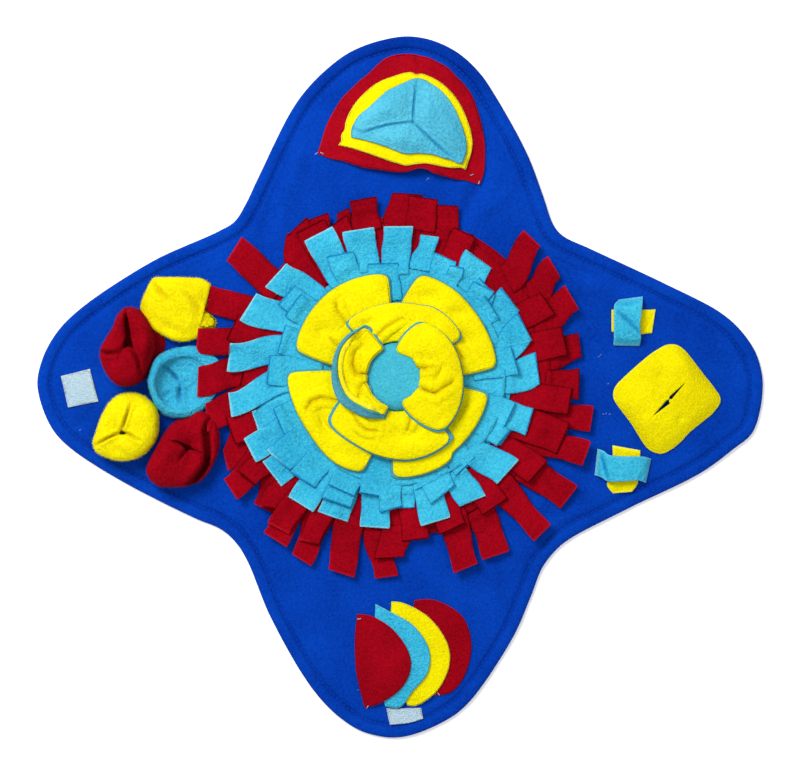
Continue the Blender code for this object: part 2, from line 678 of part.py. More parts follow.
def fan():
    for tier, (name, colour, knots) in enumerate(FAN):
        edge = outline(knots, FAN_POINTS)
        tent = FAN_TENT if tier == len(FAN) - 1 else 0.0

        def height(points):
            inner = smooth(-distance_outside(points, edge) / 12)
            return GROUND + tier * STACK_PITCH + fan_crown(points) + tent * seam_hold(points) * inner

        ringed_sheet(name, colour, edge, FAN_RINGS, height)


def flaps():
    """Shingled half-discs: each is draped over the ones before it."""
    below = []
    for name, colour, knots in FLAPS:
        edge = outline(knots, FLAP_POINTS)

        def height(points):
            lift = np.zeros(len(points))
            for lower in below:
                outside = distance_outside(points, lower)
                lift += 1 - smooth((outside - STACK_MARGIN) / STACK_RAMP)
            return GROUND + STACK_PITCH * lift

        ringed_sheet(name, colour, edge, FLAP_RINGS, height)
        below.append(edge)


def pouch():
    """A domed square held down along its rim, with a slit across its top."""
    turns = np.arange(POUCH_POINTS) * 2 * math.pi / POUCH_POINTS
    reach = (np.abs(np.cos(turns)) ** 9 + np.abs(np.sin(turns)) ** 9) ** (-1 / 9) * POUCH_HALF
    around = turns + math.radians(POUCH_TURN_DEG)
    rim = np.column_stack([np.cos(around), np.sin(around)]) * reach[:, None]
    along = math.radians(POUCH_SLIT_DEG)
    long_way = np.array([math.cos(along), math.sin(along)])
    wide_way = np.array([-long_way[1], long_way[0]])
    turned = around - along
    slit = (POUCH_SLIT[0] * np.cos(turned)[:, None] * long_way
            + POUCH_SLIT[1] * np.sin(turned)[:, None] * wide_way)
    loops = []
    for ring in POUCH_RINGS:
        flat = slit + (rim - slit) * ring + np.array(POUCH_CENTRE)
        loops.append(with_height(flat, GROUND + POUCH_CROWN * (1 - ring**2.4)))
    bm = bmesh.new()
    loft(bm, loops)
    face_up(bm)
    thicken(store("pouch_yellow", bm, "yellow"), CLOTH)


def crossing(name, colour, x0, y0, x1, y1, width_start, width_end, arch):
    """A short strip sewn down at its two ends and arched between them."""
    start, way = np.array([x0, y0], float), np.array([x1 - x0, y1 - y0], float)
    side = np.array([-way[1], way[0]]) / np.linalg.norm(way)
    bm = bmesh.new()
    rows = []
    for step in range(CROSSING_STEPS + 1):
        share = step / CROSSING_STEPS
        middle = start + way * share
        half = (width_start + (width_end - width_start) * share) / 2
        height = GROUND + arch * (1 - abs(2 * share - 1) ** 4)
        rows.append([bm.verts.new((*(middle + side * half * s), height)) for s in (1, -1)])
    for near, far in zip(rows, rows[1:]):
        bm.faces.new((near[0], near[1], far[1], far[0]))
    face_up(bm)
    thicken(store(name, bm, colour), CLOTH)


def patch(name, corners):
    bm = bmesh.new()
    bm.faces.new([bm.verts.new((x, y, GROUND)) for x, y in corners])
    face_up(bm)
    thicken(store(name, bm, "white"), PATCH_THICK)


clear_scene()
parts = collection_for("snuffle_mat")
base_cloth()
fringes()
flower()
pockets()
fan()
flaps()
pouch()
for crossing_row in CROSSINGS:
    crossing(*crossing_row)
for patch_name, patch_corners in PATCHES:
    patch(patch_name, patch_corners)
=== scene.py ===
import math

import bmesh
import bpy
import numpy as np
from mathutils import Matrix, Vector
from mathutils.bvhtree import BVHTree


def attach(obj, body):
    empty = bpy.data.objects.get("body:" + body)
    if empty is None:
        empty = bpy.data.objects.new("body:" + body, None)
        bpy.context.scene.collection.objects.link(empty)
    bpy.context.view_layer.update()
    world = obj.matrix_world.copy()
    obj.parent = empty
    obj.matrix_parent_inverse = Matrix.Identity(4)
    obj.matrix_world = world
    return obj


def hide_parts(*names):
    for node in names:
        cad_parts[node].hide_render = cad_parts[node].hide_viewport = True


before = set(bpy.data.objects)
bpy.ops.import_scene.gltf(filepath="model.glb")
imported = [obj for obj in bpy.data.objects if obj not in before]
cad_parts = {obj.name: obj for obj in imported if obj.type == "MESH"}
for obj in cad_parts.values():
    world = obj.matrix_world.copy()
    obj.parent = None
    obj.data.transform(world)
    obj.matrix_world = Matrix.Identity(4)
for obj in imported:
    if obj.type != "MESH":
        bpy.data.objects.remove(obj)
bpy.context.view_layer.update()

# %% [markdown]
# # A fleece snuffle mat
# A snuffle mat hides dry treats in cloth, so nearly everything on it is soft: a felt base with a
# rolled hem, a fringe of cut fleece strips, a padded flower, pockets, flaps and crossing strips.
# The imported model gives each piece its place. Every size below is in millimetres, and the piece's
# mesh is stored in metres. Cloth could be simulated, but these pieces are small, thick and lie
# nearly flat, so their folds are laid one by one: that keeps each one where it is sewn.

MM = 0.001
MAT_TOP = 4.6
GROUND = 4.9  # where pieces are sewn down, 0.3 mm above the base
chance = np.random.default_rng(7)


def put(name, data):
    """An object of this data, at the origin of the scene."""
    obj = bpy.data.objects.new(name, data)
    bpy.context.scene.collection.objects.link(obj)
    return obj


def heading(angle_deg):
    """A unit vector at this angle from the x axis."""
    angle = math.radians(angle_deg)
    return np.array([math.cos(angle), math.sin(angle)])


# %% [markdown]
# ## Curves and distances
# Each outline is drawn through a few knots, as a pattern cutter draws round a template. A
# Catmull-Rom curve goes through every knot, so the knots can be read straight off the cloth.

# %% Curves through knots


def smooth(value):
    """0 below 0, 1 above 1, and an even S between."""
    value = np.clip(value, 0.0, 1.0)
    return value * value * (3.0 - 2.0 * value)


def through(knots, closed, steps):
    """Points on a centripetal Catmull-Rom curve through the knots, `steps` to a span."""
    knots = [np.array(knot, float) for knot in knots]
    if closed:
        row = [knots[-1], *knots, knots[0], knots[1]]
    else:
        row = [2 * knots[0] - knots[1], *knots, 2 * knots[-1] - knots[-2]]
    points = []
    for p0, p1, p2, p3 in zip(row, row[1:], row[2:], row[3:]):
        t1 = math.sqrt(np.linalg.norm(p1 - p0))
        t2 = t1 + math.sqrt(np.linalg.norm(p2 - p1))
        t3 = t2 + math.sqrt(np.linalg.norm(p3 - p2))
        for step in range(steps):
            t = t1 + (t2 - t1) * step / steps
            a1 = (t1 - t) / t1 * p0 + t / t1 * p1
            a2 = (t2 - t) / (t2 - t1) * p1 + (t - t1) / (t2 - t1) * p2
            a3 = (t3 - t) / (t3 - t2) * p2 + (t - t2) / (t3 - t2) * p3
            b1 = (t2 - t) / t2 * a1 + t / t2 * a2
            b2 = (t3 - t) / (t3 - t1) * a2 + (t - t1) / (t3 - t1) * a3
            points.append((t2 - t) / (t2 - t1) * b1 + (t - t1) / (t2 - t1) * b2)
    if not closed:
        points.append(knots[-1])
    return np.array(points)


def spaced(points, count):
    """`count` points at even distances along a path, both ends included."""
    along = np.concatenate([[0], np.cumsum(np.linalg.norm(np.diff(points, axis=0), axis=1))])
    at = np.linspace(0, along[-1], count)
    return np.column_stack([np.interp(at, along, points[:, axis]) for axis in range(points.shape[1])])


def outline(knots, count):
    """A closed outline of about `count` points, smooth but where a knot has a third value: a corner."""
    corners = [i for i, knot in enumerate(knots) if len(knot) == 3]
    sides = []
    for start, end in zip(corners, corners[1:] + [corners[0] + len(knots)]):
        side = [knots[i % len(knots)][:2] for i in range(start, end + 1)]
        sides.append(through(side, False, 8))
    lengths = [np.linalg.norm(np.diff(side, axis=0), axis=1).sum() for side in sides]
    whole = sum(lengths)
    pieces = [
        spaced(side, max(3, round(count * length / whole) + 1))[:-1]
        for side, length in zip(sides, lengths)
    ]
    return np.concatenate(pieces)


def area_of(edge):
    """Area inside a closed outline in millimetres, in square metres."""
    x, y = edge.T
    return float(0.5 * abs(np.dot(x, np.roll(y, -1)) - np.dot(y, np.roll(x, -1))) * 1e-6)


def with_height(points, height):
    """Points of a plan, with one height for all or one for each."""
    return np.column_stack([points, np.broadcast_to(height, len(points))])


disc = through([100 * heading(turn) for turn in range(0, 360, 45)], True, 8)
print("eight knots on a 200 mm circle enclose, m2:", round(area_of(disc), 4))

# %% Distances to edges and creases
LIP_AWAY, LIP_WIDE = 2.2, 1.3  # place and width of a crease's lips, in half widths of the crease


def distance_to_path(points, path):
    """Distance of each point from an open path, and how far along the path the nearest place is."""
    path = np.array(path, float)
    nearest, along = np.full(len(points), 1e9), np.zeros(len(points))
    for k, (start, end) in enumerate(zip(path, path[1:])):
        way = end - start
        share = np.clip(((points - start) @ way) / (way @ way), 0, 1)
        found = np.linalg.norm(points - start - share[:, None] * way, axis=1)
        along = np.where(found < nearest, (k + share) / (len(path) - 1), along)
        nearest = np.minimum(nearest, found)
    return nearest, along


def distance_outside(points, edge):
    """Distance of each point from a closed outline, negative inside it."""
    spans = np.roll(edge, -1, axis=0) - edge
    offsets = points[:, None, :] - edge[None, :, :]
    share = np.clip((offsets * spans).sum(-1) / (spans * spans).sum(-1), 0, 1)
    nearest = np.linalg.norm(offsets - share[..., None] * spans, axis=-1).min(axis=1)
    x, y = points[:, 0][:, None], points[:, 1][:, None]
    ends = edge + spans
    crosses = (edge[:, 1] > y) != (ends[:, 1] > y)
    at = edge[:, 0] + (y - edge[:, 1]) / np.where(spans[:, 1] == 0, 1, spans[:, 1]) * spans[:, 0]
    inside = (crosses & (x < at)).sum(axis=1) % 2 == 1
    return np.where(inside, -nearest, nearest)


def creases(points, table):
    """Height that folds add: each row is a path, its half width, its depth and its lips' rise."""
    height = np.zeros(len(points))
    for path, half_width, depth, lips in table:
        away, along = distance_to_path(points, path)
        fade = 0.35 + 0.65 * np.sin(math.pi * np.clip(along, 0.0, 1.0)) ** 0.7
        height -= fade * depth * np.exp(-((away / half_width) ** 2))
        height += fade * lips * np.exp(-(((away - LIP_AWAY * half_width) / (LIP_WIDE * half_width)) ** 2))
    return height


def waver(points, size, seed):
    """A slow, uneven swell between -1 and 1: a few crossed waves with fixed phases."""
    phases = np.random.default_rng(seed).uniform(0, 2 * math.pi, 6)
    x, y = points[:, 0] / size, points[:, 1] / size
    swell = np.sin(x * 1.1 + phases[0]) * np.sin(y * 0.9 + phases[1])
    swell += 0.6 * np.sin(x * 2.3 + y * 1.3 + phases[2]) + 0.6 * np.sin(y * 2.1 - x * 1.7 + phases[3])
    return (swell + 0.4 * np.sin(x * 3.9 + phases[4]) * np.sin(y * 4.3 + phases[5])) / 2.6


swells = waver(disc, 34.0, 3)
print("waver round that circle:", round(swells.min(), 2), "to", round(swells.max(), 2))

# %% [markdown]
# ## Fleece and felt
# Fleece is a brushed knit: its pile stands in small tufts, catches light at a glancing angle and
# shows paler where it is cut. One node group makes the tufts and the slow mottle, and each
# material adds its own colour, cut-edge colour, sheen and bump, so that all colours share one nap.

# %% The nap group


def socket(group, name, kind, way="INPUT", value=None):
    """Adds a named input or output to a node group."""
    made = group.interface.new_socket(name=name, in_out=way, socket_type=kind)
    if value is not None:
        made.default_value = value
    return made


def wired(tree, kind, inputs=None, **settings):
    """A node with its settings made and its inputs either linked or set."""
    node = tree.nodes.new(kind)
    for key, value in settings.items():
        setattr(node, key, value)
    for key, value in (inputs or {}).items():
        if isinstance(value, bpy.types.NodeSocket):
            tree.links.new(value, node.inputs[key])
        else:
            node.inputs[key].default_value = value
    return node


def nap_group():
    """Brushed pile: tufts, hairs and clumps give the height, the height shades the colour, and a mask paints
    shade into creases.
    """
    group = bpy.data.node_groups.new("cloth_nap", "ShaderNodeTree")
    for name in ("Colour", "Hollow colour", "Edge colour"):
        socket(group, name, "NodeSocketColor")
    for name, value in (("Edge", 0.0), ("Fold", 0.0), ("Tufts per mm", 0.6), ("Mottle", 0.5)):
        socket(group, name, "NodeSocketFloat", value=value)
    socket(group, "Colour", "NodeSocketColor", "OUTPUT")
    socket(group, "Height", "NodeSocketFloat", "OUTPUT")
    given = group.nodes.new("NodeGroupInput").outputs
    result = group.nodes.new("NodeGroupOutput")

    def sums(operation, first, second):
        return wired(group, "ShaderNodeMath", {0: first, 1: second}, operation=operation).outputs[0]

    def times(vector, factor):
        inputs = {0: vector, 1: (factor, factor, factor)}
        return wired(group, "ShaderNodeVectorMath", inputs, operation="MULTIPLY").outputs[0]

    def spread(value, low, high, to_low=0.0, to_high=1.0):
        inputs = {0: value, 1: low, 2: high, 3: to_low, 4: to_high}
        return wired(group, "ShaderNodeMapRange", inputs).outputs[0]

    def noise(scale, detail, roughness=0.5):
        inputs = {"Vector": in_mm, "Scale": scale, "Detail": detail, "Roughness": roughness}
        return wired(group, "ShaderNodeTexNoise", inputs).outputs

    def mixed(factor, first, second, **settings):
        inputs = {0: factor, 6: first, 7: second}
        return wired(group, "ShaderNodeMix", inputs, data_type="RGBA", **settings).outputs[2]

    in_mm = times(group.nodes.new("ShaderNodeTexCoord").outputs["Object"], 1000)
    push = times(noise(0.35, 2.0)["Color"], 2.2)
    moved = wired(group, "ShaderNodeVectorMath", {0: in_mm, 1: push}).outputs[0]
    lumps = {"Vector": moved, "Scale": given["Tufts per mm"], "Smoothness": 0.6}
    tufts = wired(group, "ShaderNodeTexVoronoi", lumps, feature="SMOOTH_F1")
    hairs = noise(1.3, 4.0, 0.7)["Fac"]
    clumps = spread(noise(0.42, 3.0, 0.6)["Fac"], 0.3, 0.7, -0.3, 0.3)
    drift = spread(noise(0.03, 3.0)["Fac"], 0.3, 0.7, -0.25, 0.25)
    pile = sums("MULTIPLY", spread(tufts.outputs["Distance"], 0.75, 0.1), hairs)
    height = sums("ADD", sums("ADD", pile, hairs), clumps)
    share = sums("MULTIPLY", sums("ADD", spread(height, 0.25, 1.25), drift), given["Mottle"])
    lit = sums("ADD", share, sums("SUBTRACT", 1.0, given["Mottle"]))
    body = mixed(lit, given["Hollow colour"], given["Colour"])
    frayed = sums("MULTIPLY", given["Edge"], spread(hairs, 0.3, 0.6, 0.35, 1.0))
    edged = mixed(frayed, body, given["Edge colour"])
    # Painted shade: creases and grooves are multiplied by the hollow colour, as far as the fold mask says.
    shaded = mixed(given["Fold"], edged, given["Hollow colour"], blend_type="MULTIPLY")
    group.links.new(shaded, result.inputs["Colour"])
    group.links.new(height, result.inputs["Height"])
    return group


nap = nap_group()
print("nap group:", len(nap.nodes), "nodes")

# %% [markdown]
# ## Colours
# Each cloth gets its colour, a deeper one for the hollows between tufts that also serves as painted shade in
# creases, and the pale tone of its cut edge. Sheen and roughness are the same all over a cloth, so they are
# set on the shader.

# %% Cloth materials


def linear(red, green, blue):
    """Screen colour, 0 to 255, as the light values that the shader works in."""
    return tuple(((v / 255 + 0.055) / 1.055) ** 2.4 if v > 10 else v / 255 / 12.92
                 for v in (red, green, blue)) + (1.0,)


def shaded(name, sockets):
    """A material, and its Principled shader with these sockets set."""
    material = bpy.data.materials.new(name)
    material.use_nodes = True
    shader = material.node_tree.nodes["Principled BSDF"]
    for key, value in sockets.items():
        shader.inputs[key].default_value = value
    return material, shader


def cloth(name, colour, hollow, edge, tufts, mottle, bump, sheen):
    """A cloth's material: the shared nap in its own colours, masked by `rim` and by `fold`, the painted shade
    of creases.
    """
    material, shader = shaded(name, {
        "Roughness": 0.95, "Specular IOR Level": 0.04, "Sheen Weight": sheen, "Sheen Roughness": 0.5,
        "Sheen Tint": linear(*colour),
    })
    tree = material.node_tree
    rim = wired(tree, "ShaderNodeAttribute", attribute_name="rim")
    # The fold attribute carries painted shade for creases and grooves.
    fold = wired(tree, "ShaderNodeAttribute", attribute_name="fold")
    group = wired(tree, "ShaderNodeGroup", node_tree=nap)
    for key, value in (("Colour", linear(*colour)), ("Hollow colour", linear(*hollow)),
                       ("Edge colour", linear(*edge)), ("Tufts per mm", tufts), ("Mottle", mottle)):
        group.inputs[key].default_value = value
    tree.links.new(rim.outputs["Fac"], group.inputs["Edge"])
    tree.links.new(fold.outputs["Fac"], group.inputs["Fold"])
    ripple = wired(tree, "ShaderNodeBump", {"Height": group.outputs["Height"], "Strength": bump,
                                           "Distance": NAP_DEPTH})
    tree.links.new(group.outputs["Colour"], shader.inputs["Base Color"])
    tree.links.new(ripple.outputs["Normal"], shader.inputs["Normal"])
    material.diffuse_color = linear(*colour)
    return material


NAP_DEPTH = 1.8 * MM
# Material's name, colour, hollow colour, cut-edge colour, tufts per mm, mottle, bump, sheen.
CLOTH_TABLE = {
    "blue": ("blue_felt", (4, 66, 180), (0, 43, 140), (6, 62, 166), 0.8, 0.85, 0.4, 0.04),
    "red": ("red_fleece", (170, 5, 25), (116, 0, 14), (186, 18, 36), 0.62, 0.8, 0.6, 0.08),
    "fan_red": ("fan_red_fleece", (172, 8, 28), (122, 0, 16), (182, 24, 40), 0.62, 0.7, 0.5, 0.08),
    "yellow": ("yellow_fleece", (252, 242, 3), (212, 186, 0), (254, 248, 84), 0.62, 0.6, 0.6, 0.06),
    "cyan": ("cyan_fleece", (82, 220, 252), (34, 164, 212), (150, 228, 246), 0.55, 0.9, 0.8, 0.08),
    "fan_cyan": ("fan_cyan_fleece", (112, 226, 254), (62, 178, 216), (140, 208, 204), 0.5, 0.85, 0.9, 0.1),
    "teal": ("teal_fleece", (78, 192, 212), (34, 142, 176), (112, 196, 200), 0.62, 0.7, 0.5, 0.1),
    "backing": ("petal_backing", (88, 168, 188), (44, 120, 136), (66, 142, 126), 0.62, 0.7, 0.5, 0.06),
    "white": ("patch_loops", (218, 244, 255), (176, 212, 238), (240, 250, 255), 1.1, 0.7, 0.9, 0.05),
    "thread": ("blue_thread", (10, 74, 186), (0, 44, 140), (10, 74, 186), 1.5, 0.3, 0.4, 0.05),
}
CLOTHS = {key: cloth(*row) for key, row in CLOTH_TABLE.items()}
print("cloths:", ", ".join(CLOTHS))

# %% [markdown]
# ## From rings to cloth
# Most pieces are a sheet whose edge is known. Rings inside the edge carry its height, and a shell
# round them gives it a thickness and a soft rounded edge. A mask called rim marks the cut edge, so
# that the material can pale it. Solidify could do this, but it would leave a hard square edge.

# %% Points and faces to objects


def store(name, points, faces, colour, rim=None, fold=None):
    """Makes an object of points in millimetres, with its faces turned outwards."""
    mesh = bpy.data.meshes.new(name)
    mesh.from_pydata((np.asarray(points) * MM).tolist(), [], faces)
    # rim pales the cut edge, and fold paints shade into creases and grooves.
    for key, values in (("rim", rim), ("fold", fold)):
        mask = mesh.attributes.new(key, "FLOAT", "POINT")
        if values is not None:
            mask.data.foreach_set("value", np.asarray(values, float))
    bm = bmesh.new()
    bm.from_mesh(mesh)
    bmesh.ops.remove_doubles(bm, verts=bm.verts, dist=1e-7)
    bmesh.ops.recalc_face_normals(bm, faces=bm.faces)
    bm.to_mesh(mesh)
    bm.free()
    mesh.shade_smooth()
    mesh.materials.append(CLOTHS[colour])
    return put(name, mesh)


def shade_in_creases(points, table, depth=4.0):
    """Painted shade for sharp creases: how far each point lies in one, 0 to 1."""
    sharp = [row for row in table if row[1] < 3.0]
    return np.clip(-creases(np.asarray(points)[:, :2], sharp) / depth, 0, 0.8)


def skin(loops, start_point=None, end_point=None):
    """Points and faces of closed loops of equal length, each end closed to a point if one is given."""
    count = len(loops[0])
    points = [np.asarray(loop) for loop in loops]
    faces = []
    for row in range(len(loops) - 1):
        for i in range(count):
            j = (i + 1) % count
            faces.append((row * count + i, row * count + j, (row + 1) * count + j, (row + 1) * count + i))
    total = len(loops) * count
    for point, row in ((start_point, 0), (end_point, len(loops) - 1)):
        if point is None:
            continue
        points.append(np.array([point]))
        for i in range(count):
            faces.append((row * count + i, row * count + (i + 1) % count, total))
        total += 1
    return np.concatenate(points), faces


tube = skin([with_height(disc, level) for level in (0, 5, 10)], (0, 0, 0), (0, 0, 10))
print("three loops closed to a drum:", len(tube[0]), "points,", len(tube[1]), "faces")

# %% Shells over rings
SHELL_TURNS = (-60, -25, 10, 45, 75)  # the bearings, from level, of the points round a shell's edge


def upward(grid):
    """Upward unit normals of rings of points, rim first."""
    around = np.roll(grid, -1, axis=1) - np.roll(grid, 1, axis=1)
    inwards = np.gradient(grid, axis=0)
    normal = np.cross(around, inwards)
    normal /= np.linalg.norm(normal, axis=2)[..., None] + 1e-12
    return normal if normal[..., 2].sum() > 0 else -normal


def shell(rings, middle, thick, lift=0.0, relief=None, pale=1.0):
    """A closed cloth over rings of an open sheet: points, faces and the rim mask.

    The sheet is raised by `lift` along its normal, and `relief` is added to its top alone.
    """
    grid = np.array(rings, float)
    normal = upward(grid)
    lower = grid + normal * lift
    half = thick / 2
    out = grid[0] - grid[1]
    out -= (out * normal[0]).sum(1)[:, None] * normal[0]
    out /= np.linalg.norm(out, axis=1)[:, None] + 1e-12
    upper = lower + normal * thick
    if relief is not None:
        fade = np.clip(np.linspace(0, 1, len(grid)) * 9, 0.15, 1)[:, None, None]
        raised = relief(grid.reshape(-1, 3)[:, :2]).reshape(grid.shape[:2])[..., None]
        upper = upper + normal * fade * raised
    inset = lower[0] - out * half
    loops = [*lower[:0:-1], inset]
    masks = [0.0] * len(lower)
    for turn in SHELL_TURNS:
        rise, reach = math.sin(math.radians(turn)), math.cos(math.radians(turn))
        loops.append(inset + normal[0] * half * (1 + rise) + out * half * reach)
        masks.append(pale)
    loops += [inset + normal[0] * thick + (upper[0] - lower[0] - normal[0] * thick) * 0.5, *upper[1:]]
    masks += [0.55 * pale] + [0.12 * pale] + [0.0] * (len(upper) - 2)
    low_middle = np.array(middle, float) + np.array([0, 0, lift])
    bump = 0.0 if relief is None else float(relief(np.array([middle[:2]], float))[0])
    points, faces = skin(loops, low_middle, low_middle + np.array([0, 0, thick + bump]))
    rim = np.concatenate([np.repeat(masks, grid.shape[1]), [0.0, 0.0]])
    return points, faces, rim


def scaled_rings(edge, height, shares):
    """Copies of an edge drawn in about its middle, at their heights, and the middle point."""
    middle = edge.mean(axis=0)
    rings = []
    for share in shares:
        flat = middle + (edge - middle) * share
        rings.append(with_height(flat, height(flat)))
    return rings, np.array([*middle, float(height(middle[None, :])[0])])


disc_shell = shell(*scaled_rings(disc, lambda flat: np.zeros(len(flat)), (1.0, 0.5)), 2.0)
print("a shell over the circle:", len(disc_shell[0]), "points,", len(disc_shell[1]), "faces")

# %% Placing a piece


def place(obj, slot, *nodes):
    """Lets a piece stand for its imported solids, and says how large it is."""
    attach(obj, "root")
    if nodes:
        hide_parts(*nodes)
    layer = sum(face.area for face in obj.data.polygons) / 2
    print(f"{obj.name}: {len(obj.data.polygons)} faces, one layer is {layer:.4f} m2")
    return obj


print("packed solids that cloth stands for:", len(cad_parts))

# %% [markdown]
# ## Base cloth
# The base is one four-lobed piece of blue felt, turned over and stitched along its edge, so it has
# a rolled rim, a groove where the stitching pulls it down and small puckers. It lies almost flat
# with a few drag lines that run from the sewn fringe out to the lobes.

# %% Edge knots and folds of the base
MAT_KNOTS = (
    (300, 0), (296, 25), (285, 44), (266, 62), (216, 88), (156, 116), (135, 126), (127, 135),
    (118, 160), (106, 192), (80, 240), (65, 262), (46, 279), (23, 289),
    (0, 291), (-36, 281), (-61, 264), (-86, 236), (-118, 173), (-128, 152), (-137, 138), (-150, 130),
    (-205, 105), (-268, 63), (-287, 42), (-298, 18),
    (-300, 0), (-290, -30), (-276, -47), (-232, -76), (-169, -108), (-148, -117), (-135, -129),
    (-126, -144), (-107, -190), (-74, -247), (-52, -271), (-29, -285),
    (0, -289), (38, -275), (57, -260), (93, -207), (108, -173), (118, -148), (129, -134), (140, -125),
    (190, -99), (249, -70), (275, -51), (292, -36),
)
# Distance in from the edge and height, from under the rolled hem to the flat cloth.
HEM_SECTIONS = ((2.6, 0.0), (0.0, 2.5), (1.2, 4.8), (4.6, 5.7), (8.2, 5.0), (10.6, 3.5), (13.6, MAT_TOP))
HEM_GROOVE, HEM_STEPS = 10.6, 4
HALF_SIZES = (300.0, 290.0)
# Path, half width, depth and rise of the lips beside it.
MAT_FOLDS = (
    (((-88, 205), (-93, 195), (-103, 165), (-111, 130)), 5.0, 1.5, 1.5),
    (((70, 180), (62, 158), (50, 135)), 5.0, 1.3, 1.4),
    (((96, 170), (80, 150), (60, 142)), 4.0, -1.1, 0.0),
    (((113, 118), (140, 108), (170, 92)), 4.0, -1.2, 0.0),
    (((128, 104), (150, 94), (172, 88)), 3.5, 1.2, 0.4),
    (((130, 68), (150, 72), (163, 73)), 4.0, 1.0, 0.7),
    (((196, 84), (225, 76), (254, 62)), 4.0, 1.0, 0.9),
    (((-194, 107), (-170, 118), (-147, 127)), 3.0, 0.9, 0.9),
    (((-236, 86), (-215, 98), (-196, 107)), 4.0, 1.0, 0.8),
    (((-252, -18), (-262, -29), (-270, -38)), 3.5, 1.0, 0.6),
    (((70, -133), (80, -142), (94, -158)), 4.5, 1.2, 1.0),
    (((-112, -160), (-100, -176), (-94, -200)), 6.0, 0.8, 1.0),
    (((-60, 262), (-30, 276), (10, 281), (44, 276)), 4.5, 1.0, 0.5),
    (((-60, -258), (-40, -270), (-22, -275)), 5.0, 0.9, 0.6),
    (((104, -120), (130, -100), (160, -92)), 6.0, 0.7, 0.9),
)


def mat_edge(steps):
    """The edge of the base cloth, scaled to its full length and width."""
    edge = through(MAT_KNOTS, True, steps)
    for axis, half in enumerate(HALF_SIZES):
        low, high = edge[:, axis].min(), edge[:, axis].max()
        edge[:, axis] = (edge[:, axis] - (low + high) / 2) * 2 * half / (high - low)
    return edge


def inward_of(edge):
    """Unit vectors to the left of a closed outline, which runs round its inside."""
    ahead = np.roll(edge, -1, axis=0) - np.roll(edge, 1, axis=0)
    ahead /= np.linalg.norm(ahead, axis=1)[:, None]
    return np.column_stack([-ahead[:, 1], ahead[:, 0]])


edge_line = mat_edge(9)
print("base:", len(MAT_KNOTS), "knots,", len(MAT_FOLDS), "folds, area in m2:", round(area_of(edge_line), 4))

# %% The base cloth
edge_in = inward_of(edge_line)
walk = np.concatenate([[0], np.cumsum(np.linalg.norm(np.diff(edge_line, axis=0), axis=1))])
pucker = np.sin(walk / 4.1) * 0.5 + np.sin(walk / 9.7 + 1.0) * 0.7
hem_path = through(HEM_SECTIONS, False, HEM_STEPS)


def mat_height(points):
    """Top of the bare cloth: drag lines, and a slow swell that dies out towards the middle."""
    away = np.hypot(points[:, 0], points[:, 1])
    swell = waver(points, 34.0, 3) * 0.85 + waver(points, 13.0, 5) * 0.32
    return MAT_TOP + 1.3 * creases(points, MAT_FOLDS) + swell * smooth((away - 90) / 60)


mat_loops = []
for inset, height in hem_path:
    flat = edge_line + edge_in * inset
    wave = pucker * 0.3 * smooth(height / 3.0) * smooth((14.5 - inset) / 4)
    mat_loops.append(with_height(flat, height + wave))
hem_inner = edge_line + edge_in * HEM_SECTIONS[-1][0]
for share in np.concatenate([np.linspace(0.985, 0.5, 36), np.linspace(0.45, 0.06, 8)]):
    flat = hem_inner * share
    mat_loops.append(with_height(flat, mat_height(flat)))
points, faces = skin(mat_loops, (0, 0, 0), (0, 0, MAT_TOP))
# The stitched groove holds a shadow, uneven along the hem, and the hem of the top lobe is in shade.
patchy = 0.75 + 0.25 * np.sin(walk / 23.0) * np.sin(walk / 8.3 + 2.0)
shadow = np.zeros(len(points))
for row, (inset, _) in enumerate(hem_path):
    shade = 0.42 * np.exp(-(((inset - HEM_GROOVE) / 1.5) ** 2)) * patchy
    shade += 0.26 * smooth((edge_line[:, 1] - 225) / 40) * smooth((11.5 - inset) / 2)
    shadow[row * len(edge_line):(row + 1) * len(edge_line)] = shade
mat = place(store("mat_cloth", points, faces, "blue", None, shadow), "blue_fleece", "mat")

# %% [markdown]
# ## Fringe
# Four bands of fleece lie on each other round the flower. Each band is a ring whose outer part is
# cut into strips, so a strip is fixed at its root and free at its square end: it bends to one side,
# tips over its neighbour and lifts a little. A height map remembers the top of everything laid so
# far, and each new strip is draped over it, so no strip goes through another.

# %% Strips of each band
FLOWER_X, FLOWER_Y = -2.5, 8.3
# Inner radius of the ring, radius where its cuts end, width at the cut, angle of the first strip.
RED_LOW = dict(inner=58.0, root=131.0, root_width=25.0, first_deg=102.0)
RED_HIGH = dict(inner=58.0, root=125.0, root_width=25.0, first_deg=102.0)
CYAN_LOW = dict(inner=48.0, root=93.0, root_width=23.0, first_deg=92.0)
CYAN_HIGH = dict(inner=48.0, root=88.0, root_width=23.0, first_deg=92.0)
# Angle of the tip, reach from the flower's centre, width at the tip, direction of the tip.
RED_STRIPS = (
    (100.8, 149, 22, 100), (86.7, 151, 25, 88), (81.5, 149, 24, 80), (74.0, 147, 21, 82),
    (65.8, 130, 21, 76), (55.0, 113, 26, 55), (45.7, 159, 20, 41), (35.1, 158, 20, 31),
    (24.4, 158, 23, 26), (9.8, 153, 21, 2), (-2.3, 150, 25, -3), (-12.2, 164, 21, -10),
    (-22.0, 168, 21, -19), (-35.0, 173, 23, -39), (-47.0, 175, 19, -47), (-61.0, 168, 23, -71),
    (-70.2, 167, 21, -70), (-83.4, 135, 21, -84), (-92.3, 149, 24, -88), (-93.0, 165, 19, -84),
    (-105.8, 168, 23, -104), (-117.5, 170, 19, -121), (-126.8, 167, 22, -125), (-135.0, 154, 20, -118),
    (-146.0, 165, 21, -152), (-154.0, 157, 18, -163), (-168.0, 160, 24, -172), (-178.6, 164, 25, -182),
    (-190.3, 167, 22, -190), (-202.6, 171, 22, -203), (-218.2, 170, 24, -218), (-236.6, 149, 22, -232),
    (-243.8, 147, 18, -244), (-252.0, 144, 12, -250),
)
